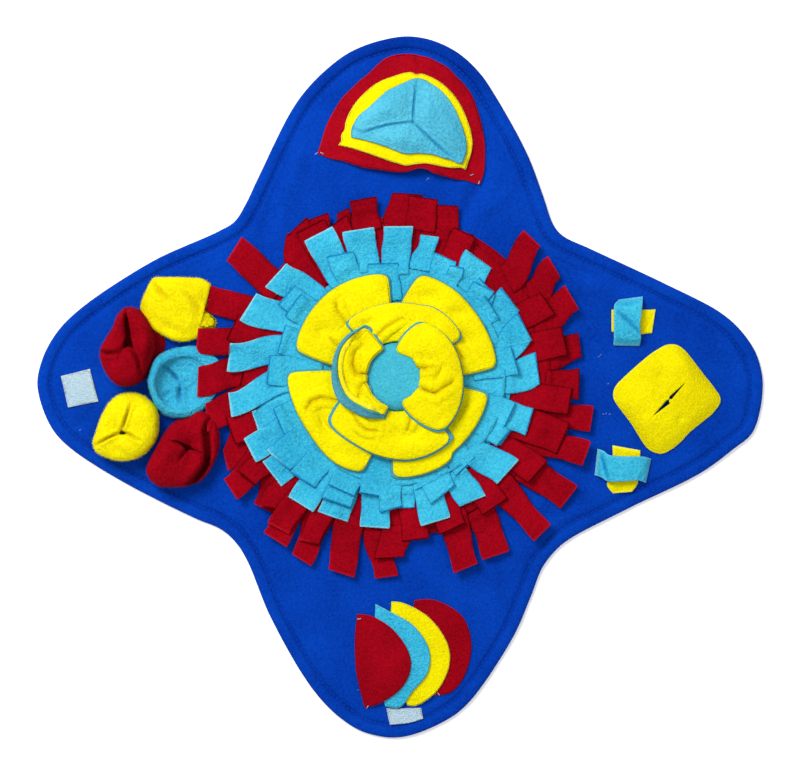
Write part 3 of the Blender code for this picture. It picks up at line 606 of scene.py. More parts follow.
CYAN_STRIPS = (
    (89.4, 123.5, 24, 88), (76.9, 119, 15, 80), (67.8, 106, 20, 68), (55.4, 118, 26, 55),
    (45.0, 105, 20, 45), (34.4, 113, 25, 33), (21.2, 113, 25, 22), (3.5, 116, 27, 12),
    (-18.8, 115, 23, -19), (-28.0, 103, 20, -33), (-40.6, 120, 26, -43), (-58.7, 119.5, 24, -64),
    (-75.0, 123, 25, -73), (-88.4, 108, 24, -86), (-98.4, 125, 24, -94), (-114.7, 126.5, 26, -112),
    (-127.0, 131, 24, -121), (-142.2, 130, 26, -147), (-153.4, 135, 22, -152), (-162.0, 122, 20, -165),
    (-170.5, 139, 20, -176), (-186.6, 139, 23, -189), (-205.2, 135, 26, -212), (-220.0, 130, 26, -217),
    (-241.2, 134, 26, -242), (-255.2, 125, 26, -261),
)
# Short strips that lie on the upper band of each colour.
RED_SHORT = (
    (120.0, 143, 26, 118), (110.5, 137, 15, 124), (214.0, 149, 20, 236), (226.0, 150, 19, 262),
    (232.0, 158, 21, 246), (242.0, 154, 18, 252), (276.6, 135, 22, 276), (290.0, 133, 24, 291),
    (307.0, 134, 25, 300), (326.0, 140, 24, 318), (339.5, 146, 28, 332), (352.0, 144, 22, 352),
    (12.0, 141, 24, 8), (26.0, 138, 22, 30), (65.0, 131, 20, 68), (163.0, 141, 24, 158),
    (198.0, 144, 24, 202),
)
CYAN_SHORT = (
    (114.7, 111, 22, 101), (97.0, 94, 25, 91), (61.5, 103, 12, 80), (46.2, 103, 19, 62), (36.0, 97, 22, 31),
    (143.5, 113, 22, 144), (145.4, 104, 22, 144), (177.0, 106, 25, 177), (201.0, 104, 25, 205),
    (215.2, 119, 26, 224), (227.5, 115, 24, 234), (244.2, 115, 25, 248), (243.9, 104, 24, 248),
    (259.1, 99, 25, 266), (267.6, 109, 19, 284), (291.5, 104, 26, 305), (285.6, 92, 22, 294),
    (307.3, 93, 22, 311), (330.0, 101, 18, 322), (341.0, 98, 24, 337), (8.0, 98, 24, 12),
    (162.0, 100, 24, 166),
)


def polar(angle_deg, radius):
    """Places at these angles and radii round the middle of the flower."""
    angle = np.radians(angle_deg)
    return np.stack([FLOWER_X + radius * np.cos(angle), FLOWER_Y + radius * np.sin(angle)], axis=-1)


def from_flower(points):
    """Distance of each point from the middle of the flower, seen from above."""
    return np.hypot(points[..., 0] - FLOWER_X, points[..., 1] - FLOWER_Y)


print("red strips:", len(RED_STRIPS), "and", len(RED_SHORT), "short ones")
print("cyan strips:", len(CYAN_STRIPS), "and", len(CYAN_SHORT), "short ones")

# %% A map of what has been laid
MAP_HALF = 320  # the map has a cell for each square millimetre
CLEAR = 0.25
laid = np.full((2 * MAP_HALF, 2 * MAP_HALF), GROUND - 0.3)


def cell(points):
    """The map's row and column for each point."""
    last = 2 * MAP_HALF - 1
    return tuple(np.clip(np.rint(points[:, axis]).astype(int) + MAP_HALF, 0, last) for axis in (0, 1))


def lay_down(top):
    """Marks a grid of top points on the map, with three more between each two."""
    fine = top
    for axis in (0, 1):
        spans = fine.shape[axis] - 1
        steps = np.linspace(0, spans, spans * 4 + 1)
        low = np.minimum(steps.astype(int), spans - 1)
        share = (steps - low).reshape((-1, 1, 1) if axis == 0 else (1, -1, 1))
        fine = np.take(fine, low, axis) * (1 - share) + np.take(fine, low + 1, axis) * share
    flat = fine.reshape(-1, 3)
    np.maximum.at(laid, cell(flat), flat[:, 2])


def beneath(points):
    """The highest place of the map within about 1.5 mm of each point."""
    found = np.full(len(points), -1.0)
    for dx in (-1.4, 0, 1.4):
        for dy in (-1.4, 0, 1.4):
            found = np.maximum(found, laid[cell(points + np.array([dx, dy]))])
    return found


# The low skirt of the cyan pocket and a corner of the yellow one lie under the fringe.
for x0, x1, y0, y1, top in ((-166, -147, -14, 28, 8.6), (-168, -151, 48, 62, 7.0)):
    grid_x, grid_y = np.meshgrid(np.linspace(x0, x1, 12), np.linspace(y0, y1, 24), indexing="ij")
    lay_down(np.stack([grid_x, grid_y, np.full(grid_x.shape, top)], axis=-1))
print("cells that hold part of a pocket:", int((laid > GROUND).sum()))

# %% The plan of a strip
ACROSS = np.linspace(-1, 1, 9)
SIDE_ARC = (-0.7, 0.0, 0.7)
END_TURNS = (0, 35, 62, 80)  # how far the end of a strip has rounded over, in degrees
# How much of each point of a strip's section is cut edge: along below, up one side, back above, down.
SECTION_RIM = np.array([0.0] * 9 + [1.0] * 3 + [0.15] + [0.0] * 7 + [0.15] + [1.0] * 3)
PETAL_REACH, UNDER_PETALS = 86.0, 12.9


def strip_plan(root_deg, root, root_width, tip_deg, reach, width, way_deg, rows, skew):
    """Plan of a strip: middle, sideways and forward vectors, and half width, row by row."""
    start, tip = polar(root_deg, root), polar(tip_deg, reach)
    third = np.linalg.norm(tip - start) / 3
    leave, arrive = start + heading(root_deg) * third, tip - heading(way_deg) * third
    t = np.linspace(-0.12, 1, rows)[:, None]
    u = 1 - t
    middle = u**3 * start + 3 * u * u * t * leave + 3 * u * t * t * arrive + t**3 * tip
    ahead = u * u * (leave - start) + 2 * u * t * (arrive - leave) + t * t * (tip - arrive)
    ahead /= np.linalg.norm(ahead, axis=1)[:, None]
    side = np.column_stack([-ahead[:, 1], ahead[:, 0]])
    half = (root_width + (width - root_width) * smooth(t[:, 0] * 1.6)) / 2
    half = half + 0.35 * np.sin(t[:, 0] * 9 + skew * 40) * smooth(t[:, 0] * 2)
    slant = skew * smooth(t[:, 0] * 2 - 1)
    return t[:, 0], middle, side, ahead, half, slant


straight = strip_plan(0, RED_LOW["root"], 25.0, 0, 160.0, 25.0, 0, 26, 0.0)
print("a straight strip ends at x, mm:", round(float(straight[1][-1, 0]), 1))

# %% One draped strip


def draped(flat, own):
    """A sheet's own height, eased until it lies on the map everywhere."""
    ground = beneath(flat.reshape(-1, 2)).reshape(own.shape) + CLEAR
    low = np.maximum(own, ground)
    for _ in range(4):
        padded = np.pad(low, 1, mode="edge")
        low = (2 * low + padded[:-2, 1:-1] + padded[2:, 1:-1] + padded[1:-1, :-2] + padded[1:-1, 2:]) / 6
        low = np.maximum(low, ground)
    return low


def strip(plan, base, thick, lift, tilt, curl, buckle, order):
    """One draped strip as a closed cloth: points, faces, rim mask."""
    t, middle, side, ahead, half, slant = plan
    c = ACROSS[None, :]
    rows = len(t)
    flat = (middle[:, None, :] + side[:, None, :] * (half[:, None] * c)[..., None]
            + ahead[:, None, :] * (slant[:, None] * half[:, None] * c)[..., None])
    free = smooth((t - 0.1) / 0.9)[:, None]
    own = base(flat.reshape(-1, 2)).reshape(rows, -1)
    own = own + free * (lift * free + tilt * c * (0.4 + 0.6 * free) + abs(tilt))
    own = own + free * (curl * (c**2 - 0.33) + abs(curl) * 0.4)
    bend, depth, width = buckle
    own = own + depth * np.exp(-(((t[:, None] + 0.10 * c - bend) / width) ** 2)) * smooth(t * 3)[:, None]
    # Under the petals a strip is pressed flat, each a hair higher than the last so that none coincide.
    room = 40 * smooth((from_flower(flat) - PETAL_REACH) / 30) ** 2
    low = np.minimum(draped(flat, own), UNDER_PETALS + room + 0.02 * (order % 9))
    radius = thick / 2
    loops, masks = [], []
    for row, turn in [(r, 0) for r in range(rows - 1)] + [(rows - 1, turn) for turn in END_TURNS]:
        last = row == rows - 1
        squash = math.cos(math.radians(turn))
        push = math.sin(math.radians(turn)) * radius - (radius if last else 0)
        reach = half[row] - radius * (1 - squash) - radius
        below = [(reach * a, 0.0, a) for a in ACROSS]
        above = [(off, thick, a) for off, _, a in below[::-1]]
        bulge = [(reach + radius * math.cos(a), radius * (1 + math.sin(a)), 1.0) for a in SIDE_ARC]
        back = [(-off, rise, -1.0) for off, rise, _ in bulge[::-1]]
        loop = []
        for off, rise, a in (*below, *bulge, *above, *back):
            z = np.interp(a, ACROSS, low[row])
            spot = middle[row] + side[row] * off + ahead[row] * (slant[row] * off + push)
            loop.append((*spot, z + radius + (rise - radius) * squash))
        loops.append(np.array(loop))
        masks.append(np.ones(len(loop)) if last else SECTION_RIM)
    lay_down(np.concatenate([flat, (low + thick)[..., None]], axis=2))
    points, faces = skin(loops, loops[0].mean(axis=0), loops[-1].mean(axis=0))
    return points, faces, np.concatenate([*masks, [0.0, 1.0]])


def joined(parts):
    """Several closed pieces of one cloth as one mesh."""
    points, faces, rims, start = [], [], [], 0
    for part_points, part_faces, part_rim in parts:
        points.append(part_points)
        rims.append(part_rim)
        faces += [tuple(index + start for index in face) for face in part_faces]
        start += len(part_points)
    return np.concatenate(points), faces, np.concatenate(rims)


print("points round a strip:", len(SECTION_RIM))

# %% Rings and strips of a band
BAND_THICK, BAND_PITCH, BAND_SLOPE = 1.5, 2.1, 0.055
STRIP_ROWS = 26
# Between what a strip's slant, tilt and curl are drawn, and the place and depth of its buckle.
SKEWS, TILTS, CURLS = (-0.10, 0.10), (-1.3, 1.3), (-1.2, 0.8)
BUCKLES_AT, BUCKLE_DEPTHS, BUCKLE_WIDE = (0.3, 0.8), (-0.8, 1.6), 0.09
CREASE_DEPTH, CREASE_WIDE = -2.2, 0.05
STRIP_PULL = 0.4  # how far a strip's root leaves its even place for the side where its tip lies
LEAST_FREE, LEAST_SHORT = 24.0, 22.0  # free length of a strip and of a short one, at the least
SHORT_ROOTS = {"red": 100.0, "cyan": 66.0}
DARK_EDGES = {"red": 156.0, "cyan": 121.0}  # nearer the flower, strips shade each other's cut edges
# Where a strip is creased across, by the angle of its tip: share of its length.
CREASED = {-105.8: 0.62, -93.0: 0.55, -146.0: 0.5, -126.8: 0.75, -135.0: 0.35, -83.4: 0.5, -61.0: 0.4}


def band_height(level):
    """Height of a band where nothing else carries it: level inside, then rising gently outwards."""
    def height(points):
        return GROUND + level * BAND_PITCH + np.maximum(0, from_flower(points) - 100.0) * BAND_SLOPE
    return height


def ring_sheet(band, level):
    """The uncut inner ring of a band: it waves a little where nothing holds it down."""
    turns = np.arange(180) * 2.0
    radii = np.linspace(band["root"] + 1, band["inner"], 14)
    under = []
    for radius in radii:
        flat = polar(turns, radius)
        wave = (0.5 + 0.5 * waver(flat, 8.0, 50 + level)) * 1.1 * smooth((radius - 75) / 40)
        under.append(with_height(flat, np.maximum(band_height(level)(flat) + wave, beneath(flat) + CLEAR)))
    top = [loop + np.array([0, 0, BAND_THICK]) for loop in under]
    points, faces = skin(under[::-1] + top + [under[-1]])
    lay_down(np.array([np.vstack([loop, loop[:1]]) for loop in top]))
    return points, faces, np.zeros(len(points))


def fringe(name, colour, strips, band, level, first, lifts, extra):
    """A band: its ring and every other strip of the table, each draped over what lies below."""
    spacing = 360 / len(strips)
    parts = [ring_sheet(band, level)]
    rows = []
    for i in range(first, len(strips), 2):
        slot = band["first_deg"] - i * spacing
        root_deg = slot + STRIP_PULL * (strips[i][0] - slot)
        root = min(band["root"], strips[i][1] - LEAST_FREE)
        rows.append((root_deg, root, band["root_width"], *strips[i], level))
    for row in extra:
        root = min(SHORT_ROOTS[colour], row[1] - LEAST_SHORT)
        rows.append((row[0], root, row[2], *row, level + 1))
    for order, (*laid_out, tier) in enumerate(rows):
        plan = strip_plan(*laid_out, STRIP_ROWS, chance.uniform(*SKEWS))
        lift, tilt, curl = chance.uniform(*lifts), chance.uniform(*TILTS), chance.uniform(*CURLS)
        buckle = (chance.uniform(*BUCKLES_AT), chance.uniform(*BUCKLE_DEPTHS), BUCKLE_WIDE)
        tip_deg = laid_out[3]
        if tip_deg in CREASED:
            buckle = (CREASED[tip_deg], CREASE_DEPTH, CREASE_WIDE)
        parts.append(strip(plan, band_height(tier), BAND_THICK, lift, tilt, curl, buckle, order))
    points, faces, rim = joined(parts)
    # Near the flower the cut edges lose their pale tone and get painted shade through the fold mask.
    inner = smooth((DARK_EDGES[colour] - from_flower(points)) / 6)
    return store(name, points, faces, colour, rim * (1 - inner), rim * inner * 0.9)


roots = [band_height(level)(np.array([[131.0, 0.0]]))[0] for level in range(4)]
print("undersides of the bands at their cuts, mm:", [round(float(height), 1) for height in roots])

# %% The four bands
# Name, colour, strips, band, level, first strip, least and greatest lift of a tip, short strips.
BANDS = (
    ("fringe_red_low", "red", RED_STRIPS, RED_LOW, 0, 1, (0.3, 2.5), ()),
    ("fringe_red_high", "red", RED_STRIPS, RED_HIGH, 1, 0, (0.8, 4.5), RED_SHORT),
    ("fringe_cyan_low", "cyan", CYAN_STRIPS, CYAN_LOW, 2, 1, (0.5, 2.5), ()),
    ("fringe_cyan_high", "cyan", CYAN_STRIPS, CYAN_HIGH, 3, 0, (1.0, 3.5), CYAN_SHORT),
)
for name, colour, strips, band, level, first, lifts, extra in BANDS:
    obj = fringe(name + "_cloth", colour, strips, band, level, first, lifts, extra)
    place(obj, colour + "_fleece", name)
    area = math.pi * (band["root"] ** 2 - band["inner"] ** 2)
    for row in strips[first::2]:
        area += max(row[1] - band["root"], LEAST_FREE) * (row[2] + band["root_width"]) / 2
    area += sum((row[1] - SHORT_ROOTS[colour]) * row[2] for row in extra)
    area *= 1e-6
    span = 2 * max(row[1] for row in strips) * MM
    print(f"  {name}: cut area {area:.4f} m2, top {laid.max():.1f} mm")

# %% [markdown]
# ## Flower
# Eight petals stand round a stuffed teal dome: four large ones below, and four above that overlap
# like a rose. Each is a yellow face sewn on a teal back, so a thin teal line shows round it, wider
# where the petal curls. The curled one stands up at its outer edge and leans in over the dome.

# %% Petal table and folds
TIER_ZERO, TIER_PITCH = 15.0, 6.4
BACK_THICK, FACE_THICK, FACE_GAP = 1.7, 2.0, 0.3
CURLED, CURLED_THICK, CURLED_GAP = "inner_3", 4.2, 0.6
CORNER = 15  # the higher, the squarer a petal's corners
# Name, start and end angle, inner radius, five outer radii from start to end,
# turn of the inner corners at the start and end, tier, teal margin in millimetres.
PETALS = (
    ("outer_1", 95, 165, 30, (84, 87, 88.5, 88, 86), 0, 8, 0, 1.3),
    ("outer_2", 6, 77, 30, (82, 82, 83, 85, 86), -8, 20, 0, 1.3),
    ("outer_3", -92, -11, 30, (82, 82, 76.5, 75.5, 76), -2, 4, 0, 1.8),
    ("outer_4", -182, -110, 30, (90, 87, 85, 86.5, 83.5), -5, 6, 0, 1.3),
    ("inner_1", 32, 133, 30, (62, 63, 59.5, 59, 60), -4, 0, 1, 1.5),
    ("inner_4", -146, -49, 29, (66, 63.5, 65.5, 67.5, 67), -22, 2, 1, 2.5),
    ("inner_2", -50, 66, 20, (57, 54.5, 51.5, 50.5, 48), -30, 26, 2, 2.0),
    ("inner_3", 128, 250, 23, (50, 54, 53, 45.5, 36), -13, 4, 1.84, 2.0),
)
# The curled petal from its inner edge to its rim: share of its reach, and rise.
CURL_PROFILE = ((0.0, 2.5), (0.35, 0.0), (0.7, 0.4), (0.93, 3.2), (1.0, 7.5), (0.97, 11.5))
PETAL_FOLDS = {
    "inner_1": ((((-21, 39.5), (-11.1, 48.6), (2, 56)), 1.5, 3.6, 1.6),
                (((-32, 50), (-22, 54)), 3.5, 1.2, 0.6),
                (((3, 58), (10, 56)), 4.0, 1.0, 0.4)),
    "inner_2": ((((9.5, 19.5), (13.5, 17.3), (20, 14.7), (27.5, 16.6)), 1.5, 3.0, 1.2),
                (((16.3, 29.5), (21.3, 22), (26.3, 18)), 5.0, 2.2, 0.4),
                (((15, 0.6), (21, -2.8), (28.8, -5), (36.2, 0), (43, 4)), 2.2, 2.8, 1.2),
                (((34, 16), (29, 5)), 3.0, 2.0, 0.6)),
    "inner_4": ((((-38, -22), (-32.3, -31.2), (-26.1, -35), (-18.5, -35.8)), 1.6, 3.4, 1.4),
                (((6.2, -34.5), (9.8, -22)), 1.5, 3.0, 1.0),
                (((-8.6, -35), (1.3, -39.9), (18.8, -37.4)), 5.5, 1.8, 0.4),
                (((23.8, -28.7), (28.8, -36.2)), 4.0, 1.4, 0.4)),
    "inner_3": ((((-37.9, 30), (-38.6, 18.7), (-34.8, 9.9), (-24.5, 10.8)), 2.4, 3.4, 1.0),
                (((-31, 36), (-32.3, 23.6)), 5.0, 3.6, 0.3),
                (((-34.4, -9), (-31, 1.2), (-24, 6)), 2.3, 2.4, 0.8)),
    "outer_1": ((((-52.6, 71.5), (-51, 62.3), (-43.5, 52.5)), 1.6, 3.0, 1.2),
                (((-57.5, 40), (-48.2, 32)), 1.6, 2.8, 1.0), (((-70, 47.5), (-58, 44.5)), 6.0, 2.2, 0.3),
                (((-48, 76), (-40, 69)), 5.0, 1.2, 0.3)),
    "outer_2": ((((14, 75.3), (30, 72)), 5.0, 2.0, 0.3), (((40, 61.3), (53, 58)), 5.0, 2.0, 0.3),
                (((49, 46), (58, 32.5)), 6.0, 2.0, 0.3), (((44.5, 33.5), (52, 22.5)), 2.2, 1.8, 0.6)),
    "outer_3": ((((56, -7), (46.2, -21.2), (38, -33.5)), 5.5, 2.4, 0.4),
                (((30, -58), (50, -44.9)), 6.0, 1.2, 0.2)),
    "outer_4": ((((-76.6, -18.5), (-72.2, -11.3), (-63.5, -8.8), (-50, -10.9)), 1.8, 3.6, 1.4),
                (((-65.5, -20.5), (-62.3, -31.2), (-54.5, -38.5)), 4.0, 2.8, 0.8),
                (((-45, -51.5), (-30, -59)), 6.0, 1.6, 0.3)),
}
print("petals:", ", ".join(row[0] for row in PETALS))

# %% The surface of a petal


def petal_surface(petal, across, along):
    """Lower surface of a petal at across = -1..1 from its start to its end, along = -1..1 outwards."""
    name, start, end, inner, outer_radii, turn_start, turn_end, tier, _ = petal
    share, depth = (across + 1) / 2, (1 - along) / 2
    angle = start + (end - start) * share + (turn_start * (1 - share) + turn_end * share) * depth
    shares = np.linspace(0, 1, 33)
    edge = through([(i / 4, radius) for i, radius in enumerate(outer_radii)], False, 8)
    outer = np.interp(share, shares, np.interp(shares, edge[:, 0], edge[:, 1]))
    reach = (along + 1) / 2
    if name == CURLED:
        rows = through(CURL_PROFILE, False, 12)
        fine = np.linspace(0, 1, len(rows))
        lift = np.interp(reach, fine, rows[:, 1]) + np.maximum(0, reach - 1) * 10
        lean = 0.26 * smooth((share - 0.1) / 0.7) * smooth((reach - 0.75) / 0.25)
        reach = np.interp(reach, fine, rows[:, 0]) - np.maximum(0, reach - 1) * 0.3 - lean
        lift = lift * (0.45 + 0.55 * smooth((1.05 - np.abs(across)) * 3))
    else:
        lift = (1.3 + 0.5 * tier) * (1 - np.clip(np.maximum(across**2, along**2), 0, 1) ** 1.5)
    level = TIER_ZERO + tier * TIER_PITCH
    flat = polar(angle, inner + (outer - inner) * reach)
    return with_height(flat, level + lift + 0.6 * creases(flat, PETAL_FOLDS[name]))


def petal_rings(petal, proud, shares, count=144):
    """Rings of a petal's surface, grown by `proud` on every side, and its middle point."""
    turns = np.arange(count) * 2 * math.pi / count
    turns = turns + 0.14 * np.sin(4 * turns)
    square = (np.abs(np.cos(turns)) ** CORNER + np.abs(np.sin(turns)) ** CORNER) ** (-1 / CORNER)
    _, start, end, inner, outer_radii, _, _, _, _ = petal
    middle = outer_radii[2]
    half_width = (middle - inner) / 2
    half_arc = math.radians(end - start) / 2 * (middle + inner) / 2
    rings = []
    for share in shares:
        across = np.cos(turns) * square * (share + proud / half_arc)
        along = np.sin(turns) * square * (share + proud / half_width)
        rings.append(petal_surface(petal, across, along))
    return rings, petal_surface(petal, np.zeros(1), np.zeros(1))[0]


middles = [petal_surface(petal, np.zeros(1), np.zeros(1))[0, 2] for petal in PETALS]
print("middles of the petals, mm up:", [round(float(height), 1) for height in middles])

# %% Petals
BACK_SHARES = np.linspace(1.0, 0.06, 17)
FACE_SHARES = np.concatenate([[1.0, 0.98, 0.955], np.linspace(0.925, 0.03, 32)])
for number, petal in enumerate(PETALS):
    name, start, end, inner, outer_radii, *_, margin = petal
    curled = name == CURLED
    seed = 20 + number

    def relief(flat):
        puff = waver(flat, 9.0, seed) * 0.8 + waver(flat, 4.5, seed + 40) * 0.25
        return np.maximum(0.6 + puff + 0.9 * creases(flat, PETAL_FOLDS[name]), -1.5)

    back = shell(*petal_rings(petal, margin, BACK_SHARES), BACK_THICK, pale=0.6)
    obj = store(f"petal_{name}_backing", *back[:2], "backing", back[2])
    place(obj, "teal_fleece", f"petal_{name}_back")
    # The cut is the sector with its margins, longer where the petal curls over.
    span, outer = math.radians(end - start), float(np.mean(outer_radii))
    length = (outer - inner) * (1.5 if curled else 1.1)
    area = (span * (outer + inner) / 2 + 2 * margin) * (length + 2 * margin)
    gap, thick = (CURLED_GAP, CURLED_THICK) if curled else (FACE_GAP, FACE_THICK)
    face = shell(*petal_rings(petal, 0.0, FACE_SHARES), thick, BACK_THICK + gap, relief, pale=0.25)
    # The face's sharp creases get painted shade.
    painted_crease_shade = shade_in_creases(face[0], PETAL_FOLDS[name])
    front = store(f"petal_{name}_face", *face[:2], "yellow", face[2], painted_crease_shade)
    place(front, "yellow_fleece", f"petal_{name}_front")

# %% [markdown]
# ## Centre dome
# The middle of the flower is a stuffed teal cap. It is a superellipse turned about its axis, which
# stands up straight at its foot, rounds over late and stays a little lumpy on top.

# %% Centre dome
DOME_RADIUS, DOME_RISE = 28.8, 26.5
DOME_FULL = 5.0  # 2 is a plain dome, and more is fuller at its shoulder
dome_foot = np.array([FLOWER_X, FLOWER_Y])
dome_spokes = np.array([heading(5 * step) for step in range(72)])
dome_loops = []
for step in range(24):
    lean = math.radians(90 * step / 24)
    ring = dome_spokes * DOME_RADIUS * math.cos(lean) ** (2 / DOME_FULL) + dome_foot
    rise = DOME_RISE * math.sin(lean) ** (2 / DOME_FULL)
    lump = waver(ring, 8.0, 9) * 0.7 * math.sin(lean)
    dome_loops.append(with_height(ring, GROUND + rise + lump))
points, faces = skin(dome_loops, (*dome_foot, GROUND), (*dome_foot, GROUND + DOME_RISE))
dome = place(store("flower_centre_dome", points, faces, "teal"), "teal_fleece", "flower_centre")

# %% [markdown]
# ## Pockets
# Five pockets stand on the left lobe. Each is a fleece bag sewn down by its foot, and its thick rim
# is gathered in until only a slit or a small mouth is left, with creases that run to the mouth.
# The profile is lofted from foot to rim and back down inside, so the cloth has a real wall.

# %% Pocket tables
CUP_WALL = 4.5
# Outlines of the gathered face, of the foot where it differs, and of the mouth, seen from above.
# drop is the share of the height that is lost towards drop_deg, and a bowl stands wide open.
CUPS = (
    dict(name="pocket_red_left", colour="red", centre=(-221, 32), height=33, drop=0.14, drop_deg=50,
         face=((-223.7, 64.9), (-217.4, 64.3), (-208.7, 57.4), (-202.5, 45), (-200.5, 33.7), (-203, 22.4),
               (-208.7, 9), (-216.5, 2.5), (-227.4, 1), (-236, 7), (-243, 20), (-244, 29.9), (-240, 38.5),
               (-234.3, 48), (-230, 59)),
         foot=((-226, 63.5), (-218.4, 64.3), (-206, 60), (-197.5, 48.5), (-194, 34), (-199, 22),
               (-209, 8.8), (-217, 3.5), (-229, 3), (-236, 9), (-242, 22.7), (-242.5, 30), (-239, 38),
               (-233, 48), (-230, 58)),
         mouth=((-222.6, 60.4), (-224, 51), (-223.6, 41), (-225, 31.1), (-220.6, 32), (-216.8, 31.7),
                (-218.6, 41), (-220.8, 53.5)), mouth_centre=(-221.2, 40)),
    dict(name="pocket_yellow_left", colour="yellow", centre=(-224, -33), height=29, drop=0.1, drop_deg=200,
         face=((-223.3, -5.1), (-214.5, -5.7), (-205.7, -10.1), (-199.4, -17.6), (-197.9, -31.4),
               (-199.4, -42.7), (-205.7, -51.5), (-214.5, -57.7), (-227, -60.2), (-239.6, -57.7),
               (-248.3, -52.7), (-250.9, -45.2), (-248.3, -36.4), (-243.3, -22.6), (-237.1, -12.6),
               (-230.8, -6.9)),
         mouth=((-229.2, -38.4), (-226.4, -34.6), (-222.6, -37.9), (-226, -39.2)),
         mouth_centre=(-226.3, -37.2)),
    dict(name="pocket_red_low", colour="red", centre=(-179, -53), height=30, drop=0.42, drop_deg=8,
         face=((-183.5, -28), (-173.4, -25.5), (-164, -20), (-154, -26), (-149, -37), (-149, -50.5),
               (-153.5, -63), (-163, -76), (-173, -80.5), (-183.1, -81.5), (-195.7, -81), (-203.5, -75.8),
               (-206.8, -68.2), (-203, -58), (-194.4, -41.7), (-188.6, -33)),
         mouth=((-182, -44.6), (-178.5, -44.8), (-173, -47.6), (-167.5, -52), (-171.5, -51.6), (-175, -53.6),
                (-175.6, -51), (-179, -46.8)), mouth_centre=(-174.9, -49.5)),
    dict(name="pocket_cyan", colour="cyan", centre=(-182, 4), height=24, drop=0.85, drop_deg=0, bowl=True,
         face=((-181.1, 32.6), (-167.3, 33.5), (-155, 27), (-147, 18), (-147, 6), (-152, -6),
               (-163.5, -19.5), (-172.3, -24.6), (-182.4, -25.8), (-192.4, -22.7), (-200, -16.4),
               (-204.4, -3.8), (-206.2, 5), (-205, 13.8), (-200, 23.8), (-192.4, 28.9)),
         mouth=((-194.2, 17.5), (-186.7, 23), (-174.1, 25), (-163, 19), (-158, 5), (-162.4, -9),
                (-174.1, -18), (-186.7, -17.5), (-195.4, -10.1), (-199.4, -1.3), (-199.2, 8.7)),
         mouth_centre=(-181, 3.5)),
)
CUP_FOLDS = {
    "pocket_red_left": ((((-243.3, 28.7), (-235.8, 27.4), (-225.9, 28.7)), 1.5, 3.6, 1.8),
                        (((-217.1, 29.9), (-212.1, 21.2), (-209.6, 8.7)), 1.5, 3.6, 1.8),
                        (((-222.5, 62), (-221, 67)), 1.8, 2.4, 1.0),
                        (((-203.5, 46), (-202, 34), (-205.5, 20)), 1.8, 2.4, 0.8)),
    "pocket_yellow_left": ((((-226.5, -36.2), (-223.4, -27.5), (-218.6, -13.5)), 1.1, 4.2, 1.8),
                           (((-227.2, -36.8), (-237.1, -41.2), (-248.4, -47.8)), 1.1, 4.2, 1.8),
                           (((-225, -36.8), (-219.6, -38.7), (-211.3, -44)), 1.1, 3.2, 1.4),
                           (((-232, -50), (-222, -56)), 3.0, 1.6, 0.8)),
    "pocket_red_low": ((((-168, -51.5), (-162, -55)), 1.2, 2.6, 1.0),
                       (((-185.5, -44.2), (-180, -44.9)), 1.1, 2.6, 0.8),
                       (((-175.5, -53), (-179, -58.5)), 1.2, 3.2, 1.4),
                       (((-155.4, -27.4), (-158.4, -37.7), (-157.3, -52.8), (-157.8, -62.8), (-163.0, -71.2),
                         (-172.8, -80.9)), 2.4, 13.0, 2.6),
                       (((-157.0, -29.0), (-159, -35)), 2.6, 6.0, 0.0),
                       (((-192, -44), (-199, -56), (-200, -66)), 4.0, 1.6, 1.0)),
    "pocket_cyan": ((((-194.9, 17.6), (-187.4, 11.3), (-182.4, 5.0), (-176.1, 4.4)), 1.5, 3.6, 2.2),
                    (((-180.5, 3.7), (-181.7, -2.6), (-181.1, -12.8)), 1.5, 3.4, 2.0),
                    (((-195.9, -8.8), (-189.1, -3.5)), 1.6, 2.0, 1.0)),
}


print("standing pockets:", ", ".join(f"{row['name']} {row['height']} mm" for row in CUPS))

# %% The loft of a pocket


def radius_at(knots, centre, angles):
    """Distance from the centre to a smooth closed outline, in each direction."""
    curve = through(knots, True, 8) - np.array(centre, float)
    bearings = np.unwrap(np.arctan2(curve[:, 1], curve[:, 0]))
    turn = 2 * math.pi if bearings[-1] > bearings[0] else -2 * math.pi
    bearings = np.append(bearings, bearings[0] + turn)
    radii = np.hypot(*np.vstack([curve, curve[:1]]).T)
    order = np.argsort(bearings)
    return np.interp(angles, bearings[order], radii[order], period=2 * math.pi)


